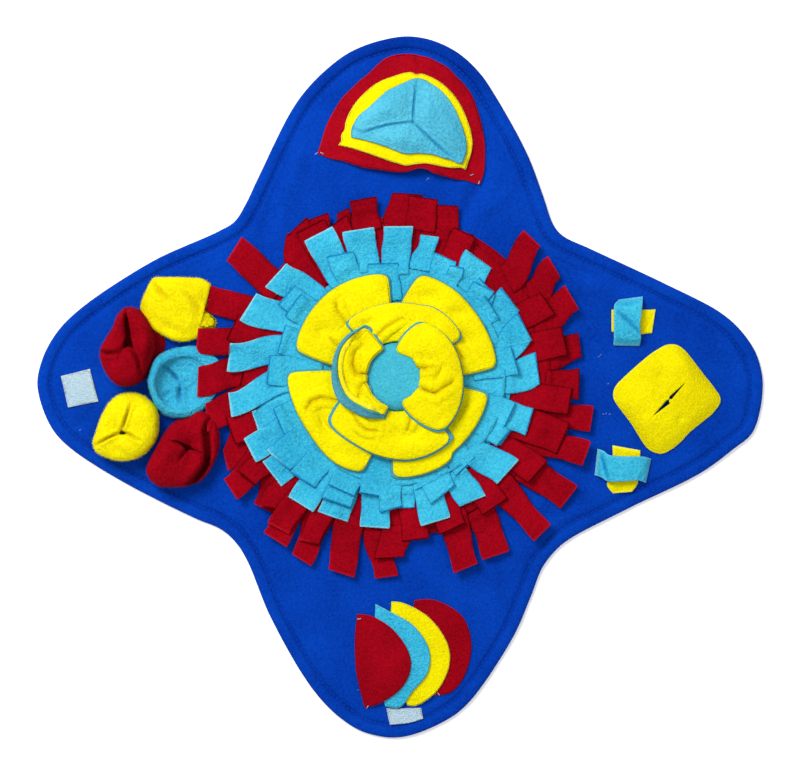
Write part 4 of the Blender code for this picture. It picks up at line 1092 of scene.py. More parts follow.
def cup(row, count=144):
    """A gathered cup: loops from its foot up, over the rim and down inside, and the profile's run."""
    angles = np.arange(count) * 2 * math.pi / count
    spokes = np.column_stack([np.cos(angles), np.sin(angles)])
    centre = np.array(row["centre"], float)
    radii = radius_at(row["face"], centre, angles)[:, None]
    body, inside = centre + radii * spokes, centre + (radii - CUP_WALL) * spokes
    foot = centre + 0.9 * radii * spokes
    if "foot" in row:
        foot = centre + radius_at(row["foot"], centre, angles)[:, None] * spokes
    mouth_centre = np.array(row["mouth_centre"])
    lips = mouth_centre + radius_at(row["mouth"], mouth_centre, angles)[:, None] * spokes
    floor_edge = mouth_centre + 5.0 * spokes
    towards = np.cos(angles - math.radians(row["drop_deg"]))
    height = row["height"] * (1 - row["drop"] * (1 + towards) / 2)

    def between(first, second, share):
        return first + (second - first) * share

    def shrink(points, share):
        return centre + (points - centre) * share

    # Plan of each section, its lift, its share of the height, and how far the folds reach it.
    sections = [
        (foot, 0.0, 0.0, 0.0), (foot, 1.5, 0.0, 0.0), (between(foot, body, 0.55), 1.6, 0.12, 0.2),
        (body, 0.8, 0.36, 0.5), (shrink(body, 1.0), 0.0, 0.58, 0.8), (shrink(body, 0.965), 0.0, 0.80, 1.0),
        (between(shrink(body, 0.9), lips, 0.1), 0.0, 0.94, 1.0), (between(body, lips, 0.45), 0.0, 1.0, 1.0),
        (between(body, lips, 0.78), 0.0, 0.97, 1.0), (lips, 0.0, 0.86, 0.7), (lips, 0.0, 0.72, 0.1),
    ]
    if row.get("bowl"):
        under = smooth((-towards + 0.1) / 0.7)[:, None]
        sections[7:] = [(between(body, lips, 0.6), 0.0, 0.99, 0.9), (lips, 0.0, 0.9, 0.8),
                        (between(lips, inside, 0.6 * under), 0.4, 0.66, 0.5),
                        (between(between(lips, floor_edge, 0.3), inside, 0.7 * under), 1.8, 0.40, 0.8),
                        (between(lips, floor_edge, 0.6), 3.4, 0.14, 1.0), (floor_edge, 4.6, 0.0, 1.0)]
    else:
        sections += [(between(inside, lips, 0.3), 0.0, 0.62, 0.0), (shrink(inside, 0.96), 0.0, 0.42, 0.0),
                     (shrink(inside, 0.88), 2.0, 0.14, 0.0), (shrink(inside, 0.6), 2.2, 0.0, 0.0)]
    rough = np.array([np.column_stack([flat, GROUND + lift + share * height, np.full(count, soft)])
                      for flat, lift, share, soft in sections])
    fine = np.array([through(rough[:, i], False, 4) for i in range(count)]).transpose(1, 0, 2)
    loops = []
    for loop in fine:
        flat, soft = loop[:, :2], np.clip(loop[:, 3], 0, 1)
        fold = creases(flat, CUP_FOLDS[row["name"]]) + waver(flat, 6.0, len(row["name"])) * 0.9
        loops.append(with_height(flat, np.maximum(loop[:, 2] + fold * soft, GROUND)))
    run = np.linalg.norm(np.diff(np.array(loops), axis=0), axis=2).sum(axis=0).mean()
    around = np.linalg.norm(np.diff(body, axis=0), axis=1).sum()
    middle = loops[-1].mean(axis=0)
    points, faces = skin(loops, (*centre, GROUND), middle)
    return points, faces, around, run


widths = [2 * radius_at(row["face"], row["centre"], np.zeros(1))[0] for row in CUPS]
print("twice their reach to the right, mm:", [round(float(width), 1) for width in widths])

# %% Standing pockets
for row in CUPS:
    points, faces, around, run = cup(row)
    # Sharp creases of the bag get painted shade.
    painted_crease_shade = shade_in_creases(points, CUP_FOLDS[row["name"]], 5.0)
    obj = store(row["name"] + "_bag", points, faces, row["colour"], None, painted_crease_shade)
    place(obj, row["colour"] + "_fleece", row["name"])
    print(f"  cut {around:.0f} x {run / 2:.0f} mm")

# %% [markdown]
# ## The pocket that lies down
# One yellow pocket has fallen over and shows its side. It is lofted from upright ovals, flat where
# it lies, from its closed end to its mouth and back inside. A loose corner of cloth fills the mouth.

# %% The pocket that has flopped over
# From its closed end to its mouth: place along x, low and high side, height of its top.
LYING_CUP = (
    (-213, 61, 71, 9.5), (-210.5, 55, 76, 13.5), (-206.5, 50.5, 84, 16.5), (-202.5, 47, 89.5, 18.0),
    (-196, 43, 90.2, 18.6), (-187, 39, 90.2, 18.8), (-178, 37.3, 90, 18.2), (-169, 37.6, 89.2, 16.8),
    (-160.5, 40.5, 84.5, 14.5),
)
LYING_FOLDS = (
    (((-203, 86), (-196.9, 77.7), (-190, 71)), 2.2, 2.6, 1.6), (((-198, 80), (-194, 78)), 1.8, 1.2, 0.6),
    (((-176, 76), (-170, 71.0), (-166, 65), (-165, 58)), 2.4, 2.6, 1.4),
    (((-200, 56), (-190, 48), (-178, 44)), 3.0, 1.6, 1.2),
)
LYING_CORNER = ((-168, 63.5, 1), (-161.5, 62.2), (-157, 60.2, 1), (-151.4, 54), (-153.2, 48.9, 1),
                (-163.3, 48.3), (-169, 48, 1))
LYING_WALL, MOUTH_SLANT = 2.0, 0.24


def lying_section(x, low, high, top, wall, count=72):
    """One upright oval across the lying cup, flat below, inset by the wall where inside."""
    turns = np.arange(count) * 2 * math.pi / count
    half, middle = (high - low) / 2 - wall, (high + low) / 2
    tall = (top - GROUND) / 2 - wall
    y = middle + half * np.sign(np.cos(turns)) * np.abs(np.cos(turns)) ** 0.8
    z = GROUND + wall + tall * (1 + np.sign(np.sin(turns)) * np.abs(np.sin(turns)) ** 0.55)
    return np.column_stack([x + MOUTH_SLANT * (y - 64) * smooth((x + 192) / 28), y, z])


fine_rows = through(LYING_CUP, False, 5)
lying_loops = []
for wall, rows in ((0.0, fine_rows), (LYING_WALL, fine_rows[:6:-1])):
    for row in rows:
        section = lying_section(*row, wall)
        if wall == 0.0:
            crest = smooth((section[:, 2] - GROUND - 2) / 6)
            section[:, 2] += crest * (creases(section[:, :2], LYING_FOLDS) + waver(section[:, :2], 7.0, 4))
        lying_loops.append(section)
bag = skin(lying_loops, (-214.5, 66, GROUND + 2.5), (-208, 66, GROUND + 5))
corner_edge = outline(LYING_CORNER, 60)


def corner_height(flat):
    """The loose corner climbs from the mat into the mouth."""
    return GROUND + 0.5 + 6.0 * smooth((-153.0 - flat[:, 0]) / 11)


corner = shell(*scaled_rings(corner_edge, corner_height, (1.0, 0.9, 0.6, 0.3)), 2.2, pale=0.3)
points, faces, rim = joined([(*bag, np.zeros(len(bag[0]))), corner])
# Sharp creases of the lying bag get painted shade.
lying = store("pocket_yellow_top_bag", points, faces, "yellow", rim, shade_in_creases(points, LYING_FOLDS))
place(lying, "yellow_fleece", "pocket_yellow_top")

# %% [markdown]
# ## Fan
# Three half-discs lie on each other on the top lobe and are sewn along their edges. Three seams
# meet on the smallest one and pull it down, so it puffs up between them. Heights come from one
# rule for the crown and one for the distance to the seams.

# %% Fan tables
# Name, cloth and outline, from the left corner over the top and back along the lower edge.
FAN = (
    ("fan_red", "fan_red", (
        (-68.1, 192.8, 1), (-65.2, 201.7), (-60.0, 217.5), (-52.0, 231.8), (-47.0, 239.1),
        (-40.5, 245.5), (-33.1, 252.6), (-25.7, 258.6), (-18.9, 265.5), (-12.5, 270.8), (-6.7, 273.4),
        (1.7, 274.8), (10.1, 274.8), (17.0, 273.3), (23.8, 271.8), (31.2, 268.1), (38.6, 264.2),
        (45.9, 256.8), (53.3, 249.2), (59.8, 239.7), (64.1, 227.6), (68.1, 212.3), (69.8, 200.2),
        (70.0, 189.6), (69.1, 177.0), (66.2, 167.5, 1), (62.8, 167.7), (54.4, 170.3), (43.8, 171.4),
        (36.5, 173.6), (27.0, 175.7), (21.7, 178.2), (16.4, 178.9), (7.0, 177.0), (-0.4, 176.6),
        (-9.9, 177.6), (-19.4, 179.1), (-29.9, 180.7), (-38.4, 183.3), (-47.8, 186.5), (-57.3, 188.4),
    )),
    ("fan_yellow", "yellow", (
        (-50.7, 199.0, 1), (-48.1, 202.6), (-48.2, 207.0), (-45.4, 212.0), (-44.8, 216.5),
        (-43.0, 222.2), (-39.8, 228.5), (-34.6, 235.9), (-27.7, 242.9), (-20.9, 248.4), (-13.6, 252.4),
        (-4.6, 255.6), (2.7, 257.9), (9.6, 258.7), (13.2, 257.0), (17.4, 257.6), (23.8, 255.6),
        (32.2, 251.1), (40.0, 244.6), (46.7, 236.6), (51.6, 228.0), (55.5, 218.6), (58.4, 209.1),
        (59.4, 200.7), (58.4, 192.3), (56.1, 185.5), (54.1, 178.8, 1), (50.6, 180.3), (43.7, 180.1),
        (36.4, 180.7), (29.0, 181.8), (21.6, 183.0), (14.3, 182.5), (4.8, 181.4), (-1.5, 183.2),
        (-8.8, 185.4), (-19.3, 189.3), (-29.8, 193.1), (-40.4, 196.5),
    )),
    ("fan_cyan", "fan_cyan", (
        (-40.0, 204.8, 1), (-39.8, 211.5), (-37.3, 217.0), (-34.0, 222.2), (-29.2, 226.2),
        (-23.5, 231.0), (-17.2, 236.9), (-9.9, 243.2), (-4.4, 245.9), (4.8, 250.3), (10.1, 252.6),
        (13.8, 253.4, 1), (18.7, 252.6), (24.7, 249.4), (32.3, 244.2), (38.4, 237.9), (44.1, 229.5),
        (48.0, 221.1), (51.6, 211.7), (54.1, 202.3), (54.6, 194.4), (53.3, 188.6), (51.0, 183.2, 1),
        (46.8, 183.8), (41.5, 186.3), (35.2, 187.6), (28.9, 189.7), (22.6, 190.7), (15.3, 191.2),
        (6.9, 190.7), (0.6, 191.8), (-6.7, 194.7), (-15.1, 197.9), (-23.5, 200.6), (-31.9, 202.9),
    )),
)
# From the top to the middle, from there to the left, and to the lower right.
FAN_SEAMS = (
    ((13.4, 252.2), (12.7, 243.0), (11.4, 230.4), (10.5, 216.6)),
    ((10.5, 216.6), (1.7, 216.0), (-8.8, 214.5), (-21.4, 211.4), (-29.8, 208.4), (-35.0, 211.0),
     (-39.0, 212.1)),
    ((10.5, 216.6), (15.3, 212.1), (22.6, 205.3), (30.0, 198.2), (36.2, 193.2), (41.5, 189.6), (45.1, 187.0)),
)
FAN_FOLDS = {
    "fan_red": ((((12.8, 273), (13.6, 268), (14.4, 262)), 1.6, 1.2, 0.7),
                (((-62, 196), (-40, 190), (-10, 184)), 3.5, 0.8, 0.5),
                (((-43, 229), (-39, 221)), 2.2, 1.0, 0.8), (((-56, 213), (-49, 208)), 2.4, 0.9, 0.7)),
    "fan_yellow": ((((4.9, 184), (5.5, 180)), 1.4, 1.0, 0.5), (((-40, 222), (-28, 236)), 2.5, 0.6, 0.4)),
    "fan_cyan": ((FAN_SEAMS[0], 1.1, 2.2, 0.8), (FAN_SEAMS[1], 1.1, 2.4, 0.9), (FAN_SEAMS[2], 1.1, 2.2, 0.8),
                 (((10.5, 215.8), (8.8, 206.3), (6.4, 196.9), (5.7, 191.1)), 3.2, 1.0, 0.5),
                 (((32.0, 203.5), (35.0, 196.0)), 2.6, 0.7, 0.3),
                 (((-6, 207), (2, 203)), 2.8, 0.6, 0.3)),
}
FAN_LIFT = ((13, 177.0), (27, 176.0))  # where the lower edge stands off the mat
FAN_PITCH, FLAP_PITCH, SHEET_THICK, TENT = 2.7, 2.7, 1.9, 5.2
SHEET_SHARES = np.concatenate([[1.0, 0.985, 0.965], np.linspace(0.93, 0.03, 24)])


def fan_crown(points):
    """Rise of the whole fan: a low crown, and its lower edge standing off the mat."""
    offset = (points - np.array([5.0, 205.0])) / 62.0
    lifted = distance_to_path(points, FAN_LIFT)[0]
    return 7.6 * smooth(1.25 - np.hypot(offset[:, 0], offset[:, 1])) + 4.2 * np.exp(-((lifted / 5.5) ** 2))


def seam_hold(points):
    """0 on a seam and 1 well away from every seam."""
    nearest = np.full(len(points), 1e9)
    for seam in FAN_SEAMS:
        nearest = np.minimum(nearest, distance_to_path(points, seam)[0])
    return smooth(nearest / 14.0)


print("crown of the fan, mm:", round(float(fan_crown(np.array([[5.0, 205.0]]))[0]), 1))

# %% The fan
for tier, (name, colour, knots) in enumerate(FAN):
    edge = outline(knots, 160)
    tent = TENT if name == "fan_cyan" else 0.0

    def height(points):
        inner = smooth(-distance_outside(points, edge) / 12)
        return GROUND + tier * FAN_PITCH + fan_crown(points) + tent * seam_hold(points) * inner

    def relief(flat):
        inner = smooth(-distance_outside(flat, edge) / 8)
        return inner * (waver(flat, 10.0, 60 + tier) * 0.5 + creases(flat, FAN_FOLDS[name]))

    sheet = shell(*scaled_rings(edge, height, SHEET_SHARES), SHEET_THICK, 0.0, relief)
    # Sharp creases among the first three folds, the seams on the cyan sheet, get painted shade.
    painted_crease_shade = shade_in_creases(sheet[0], FAN_FOLDS[name][:3], 3.4)
    obj = place(store(name + "_cloth", *sheet[:2], colour, sheet[2], painted_crease_shade), f"{colour}_fleece", name)

# %% [markdown]
# ## Flaps
# Four half-discs are shingled like roof tiles on the bottom lobe, sewn by their left edges. Each
# one steps up over the edges of those before it, which the distance outside those edges gives.

# %% The flaps
# Name, cloth and outline, from the top corner round the free edge to the bottom corner and back.
FLAPS = (
    ("flap_red_back", "red", ((12, -176, 1), (23, -175), (35, -178), (52, -190), (59, -213), (53, -239),
                              (42, -252), (28, -255, 1), (12, -235), (8, -205))),
    ("flap_yellow", "yellow", ((-7, -177, 1), (3, -178), (24, -190), (39, -211), (41, -228), (31, -250),
                               (13, -263), (6, -263, 1), (-4, -235), (-8, -205))),
    ("flap_cyan", "cyan", ((-20, -179, 1), (-10, -184), (11, -196), (24, -216), (23, -235), (11, -250),
                           (0, -264), (-12, -264, 1), (-18, -235), (-21, -205))),
    ("flap_red_front", "red", ((-35, -187, 1), (-22, -189), (-2, -203), (9, -225), (4, -244), (-13, -259),
                               (-29, -265, 1), (-36, -235), (-37, -206))),
)
under = []
for number, (name, colour, knots) in enumerate(FLAPS):
    edge = outline(knots, 24)
    fine_edge = outline(knots, 120)

    def height(points):
        lift = np.zeros(len(points))
        for lower in under:
            outside = distance_outside(points, lower)
            lift += 1 - smooth((outside - 5.0) / 15.0)
        return GROUND + FLAP_PITCH * lift

    def relief(flat):
        inner = smooth(-distance_outside(flat, fine_edge) / 6)
        return inner * (0.3 + waver(flat, 12.0, 80 + number) * 0.5)

    sheet = shell(*scaled_rings(fine_edge, height, SHEET_SHARES), SHEET_THICK, 0.0, relief)
    obj = place(store(name + "_cloth", *sheet[:2], colour, sheet[2]), f"{colour}_fleece", name)
    under.append(edge)

# %% [markdown]
# ## Slit pouch
# A square of yellow fleece is sewn down round its rim and left full in the middle, with a crossed
# slit to reach through. The rim runs through knots, and the rings blend from it to the slit.

# %% The pouch
POUCH_KNOTS = (
    (220.8, 34.0), (227.2, 34.0), (233.0, 30.5), (238.9, 23.6), (250.5, 8.4), (258.8, -2.0), (263.6, -10.7),
    (258.8, -19.5), (249.5, -27.6), (238.0, -36.9), (231.0, -44.5), (222.6, -51.2), (215.6, -54.1),
    (207.5, -51.7), (202.8, -47.0), (192.3, -29.9), (181.7, -16.0), (176.9, -8.3), (178.0, -0.9),
    (186.5, 8.4), (198.2, 18.9), (209.8, 28.2),
)
POUCH_FOLDS = (
    (((216, 12), (213, 4)), 4.6, 2.2, 0.4), (((229.6, -22.0), (232, -29)), 4.6, 2.2, 0.4),
    (((206.3, 6.0), (200, 3)), 4.0, 1.2, 0.3), (((198, -22), (206, -20)), 3.6, 0.8, 0.3),
)
SLIT_DEG, SLIT_HALF = 46.0, 18.6
POUCH_PUFF, POUCH_THICK = 9.0, 1.9
rim_line = spaced(np.vstack([through(POUCH_KNOTS, True, 8), [POUCH_KNOTS[0]]]), 121)[:-1]
pouch_middle = np.array([220.8, -10.2])
bearing = np.arctan2(*(rim_line - pouch_middle).T[::-1]) - math.radians(SLIT_DEG)
slit_way = heading(SLIT_DEG)
slit_side = np.array([-slit_way[1], slit_way[0]])
along_slit, side_of_slit = np.cos(bearing), np.sin(bearing)
# The slit is held shut at its middle and gapes on each side of it, widest at its lower left.
open_side = np.where(along_slit < 0, np.where(side_of_slit < 0, 3.0, 0.9), 1.5)
slit_wide = 0.12 + open_side * (1 - np.abs(along_slit)) * smooth((np.abs(along_slit) - 0.02) / 0.08)
slit = SLIT_HALF * along_slit[:, None] * slit_way + (slit_wide * np.sign(side_of_slit))[:, None] * slit_side
pouch_loops = []
for share in np.concatenate([[1.0, 0.985, 0.965], np.linspace(0.94, 0.0, 26)]):
    flat = (slit + pouch_middle) * (1 - share) + rim_line * share
    puff = POUCH_PUFF * (1 - share**2.4) + 0.5 * waver(flat, 9.0, 90) * (1 - share**4)
    pouch_loops.append(with_height(flat, GROUND + np.maximum(puff + creases(flat, POUCH_FOLDS), 0.0)))
grid = np.array(pouch_loops)
normal = upward(grid)
upper = grid + normal * POUCH_THICK
bulge = grid[0] + normal[0] * POUCH_THICK / 2 + (grid[0] - grid[1]) * 0.4
points, faces = skin([*grid[::-1], bulge, *upper, grid[-1]])
# The rim is pale: the lowest edge, the bulge and the first ring above, then half so.
depth, count = grid.shape[:2]
rim = np.zeros(len(points))
rim[(depth - 1) * count:(depth + 2) * count] = 1.0
rim[(depth + 2) * count:(depth + 3) * count] = 0.5
pouch = place(store("pouch_yellow_cloth", points, faces, "yellow", rim), "yellow_fleece", "pouch_yellow")

# %% [markdown]
# ## Crossing strips
# Beside the pouch, two short cyan strips arch over two yellow ones, each sewn at its ends. They
# fold where they were pinched. The outline of each is a row of left and right edge points.

# %% Strips beside the pouch
CROSS_ROWS, CROSS_COLUMNS, CROSS_THICK, CROSS_EDGE = 34, 15, 1.8, 0.5
# Name, colour, left and right edge from end to end, rise of the arch, and folds.
CROSSINGS = (
    ("strip_upper_yellow", "yellow",
     ((174.6, 63.5), (180.9, 63.7), (192.0, 63.8), (198.9, 63.5), (205.9, 63.3), (210.8, 63.7)),
     ((174.6, 46.0), (180.9, 45.3), (192.0, 44.6), (198.0, 43.9), (202.6, 44.4), (208.0, 44.9)), 0.5,
     ((((201.6, 58.0), (204.0, 52.5), (202.0, 47.5)), 1.3, 1.2, 0.9),)),
    ("strip_upper_cyan", "cyan",
     ((181.2, 72.3), (177.0, 68.3), (176.1, 64.5), (176.1, 53.5), (176.1, 41.9), (176.5, 34.1)),
     ((199.9, 74.8), (199.0, 69.1), (197.8, 60.5), (196.7, 50.0), (197.6, 41.9), (197.4, 33.8)), 8.6,
     ((((180.4, 61.5), (183.5, 57.6), (190.5, 51.6), (199.0, 42.5)), 1.4, 2.4, 1.6),
      (((176, 38), (187, 36.6), (199, 37.4)), 1.2, 0.8, 0.5),
      (((182, 68), (196, 70.5)), 2.4, 0.8, 0.5))),
    ("strip_lower_yellow", "yellow",
     ((198.0, -52.2), (197.8, -62.4), (196.4, -74.0), (195.4, -80.4), (191.0, -86.5)),
     ((175.8, -48.2), (175.7, -62.4), (172.0, -76.3), (171.3, -81.5), (176.0, -87.7)), 0.5,
     ((((174, -86.5), (183, -84.0)), 1.4, 0.7, 0.5),)),
    ("strip_lower_cyan", "cyan",
     ((162.9, -51.3), (167.8, -53.1), (170.8, -55.9), (179.8, -57.1), (191.4, -57.3), (200.6, -57.8),
      (207.3, -59.6)),
     ((160.6, -72.3), (165.7, -74.0), (170.3, -77.0), (179.8, -77.2), (191.4, -76.5), (197.1, -76.5),
      (202.9, -78.8)), 8.6,
     ((((165.5, -55.5), (167.3, -62), (169.5, -70), (171.6, -77)), 1.4, 2.4, 1.6),
      (((206, -60.5), (203, -77)), 1.1, 0.9, 0.6),
      (((195.8, -77), (201.6, -69.5)), 1.2, 0.9, 0.6))),
)
# How pale each point of a section is: its side edges most, and the points beside them a little.
SECTION_PALE = np.array([0.35] + [0.0] * 13 + [0.35, 1.0, 0.35] + [0.0] * 13 + [0.35, 1.0])


def crossing(left, right, arch, folds):
    """Lower surface of an arched strip, row by row across it."""
    sides = [spaced(through(knots, False, 8), CROSS_ROWS)[:, None, :] for knots in (left, right)]
    across = np.linspace(0, 1, CROSS_COLUMNS)[None, :, None]
    flat = sides[0] * (1 - across) + sides[1] * across
    held = 1 - np.abs(2 * np.linspace(0, 1, CROSS_ROWS)[:, None] - 1) ** 4
    every = flat.reshape(-1, 2)
    waves = (creases(every, folds) + 0.4 * waver(every, 5.0, 33)).reshape(flat.shape[:2])
    low = np.maximum(GROUND + arch * held + waves * held, GROUND)
    return np.concatenate([flat, low[..., None]], axis=2)


for name, colour, left, right, arch, folds in CROSSINGS:
    lower = crossing(left, right, arch, folds)
    upper = lower + np.array([0, 0, CROSS_THICK])
    loops, masks = [], []
    for row in range(CROSS_ROWS):
        side = lower[row, -1] - lower[row, 0]
        side *= CROSS_EDGE / np.linalg.norm(side)
        half_up = np.array([0, 0, CROSS_THICK / 2])
        loops.append(np.vstack([lower[row], lower[row, -1] + side + half_up, upper[row, ::-1],
                                lower[row, 0] - side + half_up]))
        from_end = min(row, CROSS_ROWS - 1 - row)
        masks.append(np.maximum(SECTION_PALE, (1.0, 0.5)[from_end] if from_end < 2 else 0.0))
    points, faces = skin(loops, loops[0].mean(axis=0), loops[-1].mean(axis=0))
    rim = np.concatenate([*masks, [1.0, 1.0]])
    # Sharp creases of the strip get painted shade.
    obj = store(name + "_cloth", points, faces, colour, rim, shade_in_creases(points, folds, 2.2))
    place(obj, f"{colour}_fleece", name)
    run = float(np.linalg.norm(np.diff(lower[:, 7], axis=0), axis=1).sum())
    width = float(np.linalg.norm(lower[17, 0] - lower[17, -1]))

# %% [markdown]
# ## Hook-and-loop patches
# Two small white patches take a fastener. They are flat tape, so a thin shell is enough, and the
# loops are in the material.

# %% Patches
PATCH_THICK = 1.4
PATCHES = (
    ("patch_left", ((-280, 9, 1), (-274, -17, 1), (-249, -12, 1), (-256, 15, 1))),
    ("patch_bottom", ((-11.2, -265.4, 1), (-9.8, -272.6), (-8.2, -279.0, 1), (8.6, -277.2), (19.2, -273.8, 1),
                      (17.4, -264.9, 1))),
)
for name, corners in PATCHES:
    edge = outline(corners, 96)

    def height(points):
        return np.full(len(points), GROUND)

    def relief(flat):
        return 0.15 * waver(flat, 3.0, 12)

    rings = scaled_rings(edge, height, (1.0, 0.96, 0.9, 0.75, 0.5, 0.25))
    sheet = shell(*rings, PATCH_THICK, 0.0, relief, pale=0.8)
    obj = place(store(name + "_tape", *sheet[:2], "white", sheet[2]), "hook_and_loop", name)

# %% [markdown]
# ## Stitches
# The hem is held by a straight seam of blue thread in its groove, and the patches by a white one.
# A seam is one short bead of thread, over and over along a path, so Geometry Nodes makes it: the
# path is cut into equal steps, a bead is set on each step along the path, and all of it is realised.

# %% A tree for seams


def tree_of(name, sockets):
    """A Geometry Nodes tree with a mesh or curve going in and out, and the named inputs."""
    tree = bpy.data.node_groups.new(name, "GeometryNodeTree")
    face = tree.interface
    face.new_socket("Geometry", in_out="INPUT", socket_type="NodeSocketGeometry")
    for key, kind in sockets:
        face.new_socket(key, in_out="INPUT", socket_type="NodeSocket" + kind)
    face.new_socket("Geometry", in_out="OUTPUT", socket_type="NodeSocketGeometry")
    return tree, tree.nodes.new("NodeGroupInput").outputs, tree.nodes.new("NodeGroupOutput")


def random_value(tree, low, high, seed):
    """An even random number for each point or instance."""
    inputs = {2: low, 3: high, "Seed": seed}
    return wired(tree, "FunctionNodeRandomValue", inputs, data_type="FLOAT").outputs[1]


def times(tree, first, second):
    """The product of two values."""
    return wired(tree, "ShaderNodeMath", {0: first, 1: second}, operation="MULTIPLY").outputs[0]


def copies(tree, points, thing, rotation, width, lengths):
    """A copy of a unit-sized thing on each point, turned and given its three sizes."""
    size = wired(tree, "ShaderNodeCombineXYZ", {"X": width, "Y": width, "Z": width, **lengths})
    inputs = {"Points": points, "Instance": thing, "Rotation": rotation, "Scale": size.outputs["Vector"]}
    return wired(tree, "GeometryNodeInstanceOnPoints", inputs).outputs["Instances"]


def put_out(tree, into, out, instances):
    """Ends a tree: its instances are realised and get their cloth."""
    real = wired(tree, "GeometryNodeRealizeInstances", {"Geometry": instances}).outputs["Geometry"]
    inputs = {"Geometry": real, "Material": into["Cloth"]}
    dressed = wired(tree, "GeometryNodeSetMaterial", inputs).outputs["Geometry"]
    tree.links.new(dressed, out.inputs["Geometry"])


def grown(name, data, tree, values):
    """Runs a tree on a curve or a mesh, and gives its result as an object with a plain mesh."""
    source = put(name + "_source", data)
    modifier = source.modifiers.new(tree.name, "NODES")
    modifier.node_group = tree
    for item in tree.interface.items_tree:
        if item.in_out == "INPUT" and item.name in values:
            modifier[item.identifier] = values[item.name]
    evaluated = source.evaluated_get(bpy.context.evaluated_depsgraph_get())
    mesh = bpy.data.meshes.new_from_object(evaluated)
    source.modifiers.remove(modifier)
    bpy.data.objects.remove(source)
    mesh.name = name
    return put(name, mesh)


seam, into, out = tree_of("seam", (("Pitch", "Float"), ("Stitch", "Float"), ("Thread", "Float"),
                                   ("Seed", "Int"), ("Cloth", "Material")))
steps = wired(seam, "GeometryNodeResampleCurve",
              {"Curve": into["Geometry"], "Length": into["Pitch"]}, mode="LENGTH")
bead = wired(seam, "GeometryNodeMeshIcoSphere", {"Radius": 0.5, "Subdivisions": 2})
tangent = wired(seam, "GeometryNodeInputTangent")
along = wired(seam, "FunctionNodeAlignRotationToVector", {"Vector": tangent.outputs["Tangent"]}, axis="X")
stitch_length = times(seam, into["Stitch"], random_value(seam, 0.85, 1.1, into["Seed"]))
put_out(seam, into, out, copies(seam, steps.outputs["Curve"], bead.outputs["Mesh"],
                                along.outputs["Rotation"], into["Thread"], {"X": stitch_length}))
print("seam tree:", len(seam.nodes), "nodes")

# %% Seams
STITCH_LIFT = 0.35  # a stitch lies half sunk in its groove


def seam_along(name, path, slot, colour, pitch, stitch, thread):
    """A closed seam of stitches along a path, all sizes in millimetres."""
    curve = bpy.data.curves.new(name + "_path", "CURVE")
    curve.dimensions = "3D"
    spline = curve.splines.new("POLY")
    spline.points.add(len(path) - 1)
    spline.points.foreach_set("co", np.column_stack([path * MM, np.ones(len(path))]).ravel())
    spline.use_cyclic_u = True
    return place(grown(name, curve, seam, {"Pitch": pitch * MM, "Stitch": stitch * MM, "Thread": thread * MM,
                                           "Seed": 7, "Cloth": CLOTHS[colour]}), slot)


groove_row = HEM_STEPS * (len(HEM_SECTIONS) - 2)
stitch_line = mat_loops[groove_row] + np.array([0, 0, STITCH_LIFT])
seam_along("hem_stitches", stitch_line, "blue_fleece", "thread", 4.2, 3.3, 0.75)
for name, corners in PATCHES:
    edge = outline(corners, 96)
    inner = edge.mean(axis=0) + (edge - edge.mean(axis=0)) * (1 - 3.0 / np.ptp(edge, axis=0).max())
    path = with_height(inner, GROUND + PATCH_THICK + 0.05)
    seam_along(name + "_stitches", path, "hook_and_loop", "white", 2.6, 2.0, 0.45)

# %% [markdown]
# ## Pile
# Fleece is brushed, so short fibres stand off it and blur its outline. Each is a cone of three
# faces. They are scattered by Geometry Nodes on the faces that nothing covers, leaning at random,
# and one piece holds the fibres of one colour. They are loose fibres, so they are not sheets.

# %% A tree for fibres
pile, into, out = tree_of("pile", (("Per square metre", "Float"), ("Length", "Float"), ("Thick", "Float"),
                                   ("Lean", "Float"), ("Seed", "Int"), ("Cloth", "Material")))
free = wired(pile, "GeometryNodeInputNamedAttribute", {"Name": "free"}, data_type="FLOAT")
density = times(pile, free.outputs["Attribute"], into["Per square metre"])
spots = wired(pile, "GeometryNodeDistributePointsOnFaces",
              {"Mesh": into["Geometry"], "Density": density, "Seed": into["Seed"]})
cone = {"Vertices": 3, "Radius Top": 0.0, "Radius Bottom": 0.5, "Depth": 1.0}
fibre = wired(pile, "GeometryNodeMeshCone", cone, fill_type="NONE")
lean = wired(pile, "FunctionNodeRandomValue",
             {0: times(pile, into["Lean"], -1.0), 1: into["Lean"], "Seed": into["Seed"]},
             data_type="FLOAT_VECTOR")
tipped = wired(pile, "FunctionNodeRotateRotation", {0: spots.outputs["Rotation"], 1: lean.outputs[0]},
               rotation_space="LOCAL")
tall = times(pile, into["Length"], random_value(pile, 0.5, 1.25, 3))
fibres = copies(pile, spots.outputs["Points"], fibre.outputs["Mesh"],
                tipped.outputs["Rotation"], into["Thick"], {"Z": tall})
# Each fibre takes its own share of the cut edge's paler colour.
toned = wired(pile, "GeometryNodeStoreNamedAttribute",
              {"Geometry": fibres, "Name": "rim", "Value": random_value(pile, 0.0, 1.0, 5)},
              data_type="FLOAT", domain="INSTANCE")
put_out(pile, into, out, toned.outputs["Geometry"])
print("pile tree:", len(pile.nodes), "nodes")

# %% [markdown]
# ## Where pile may grow
# A fibre under another piece would never be seen, so each face sends out a short ray, and only
# those that meet nothing grow pile. All cloths go into one search tree, which makes that quick.

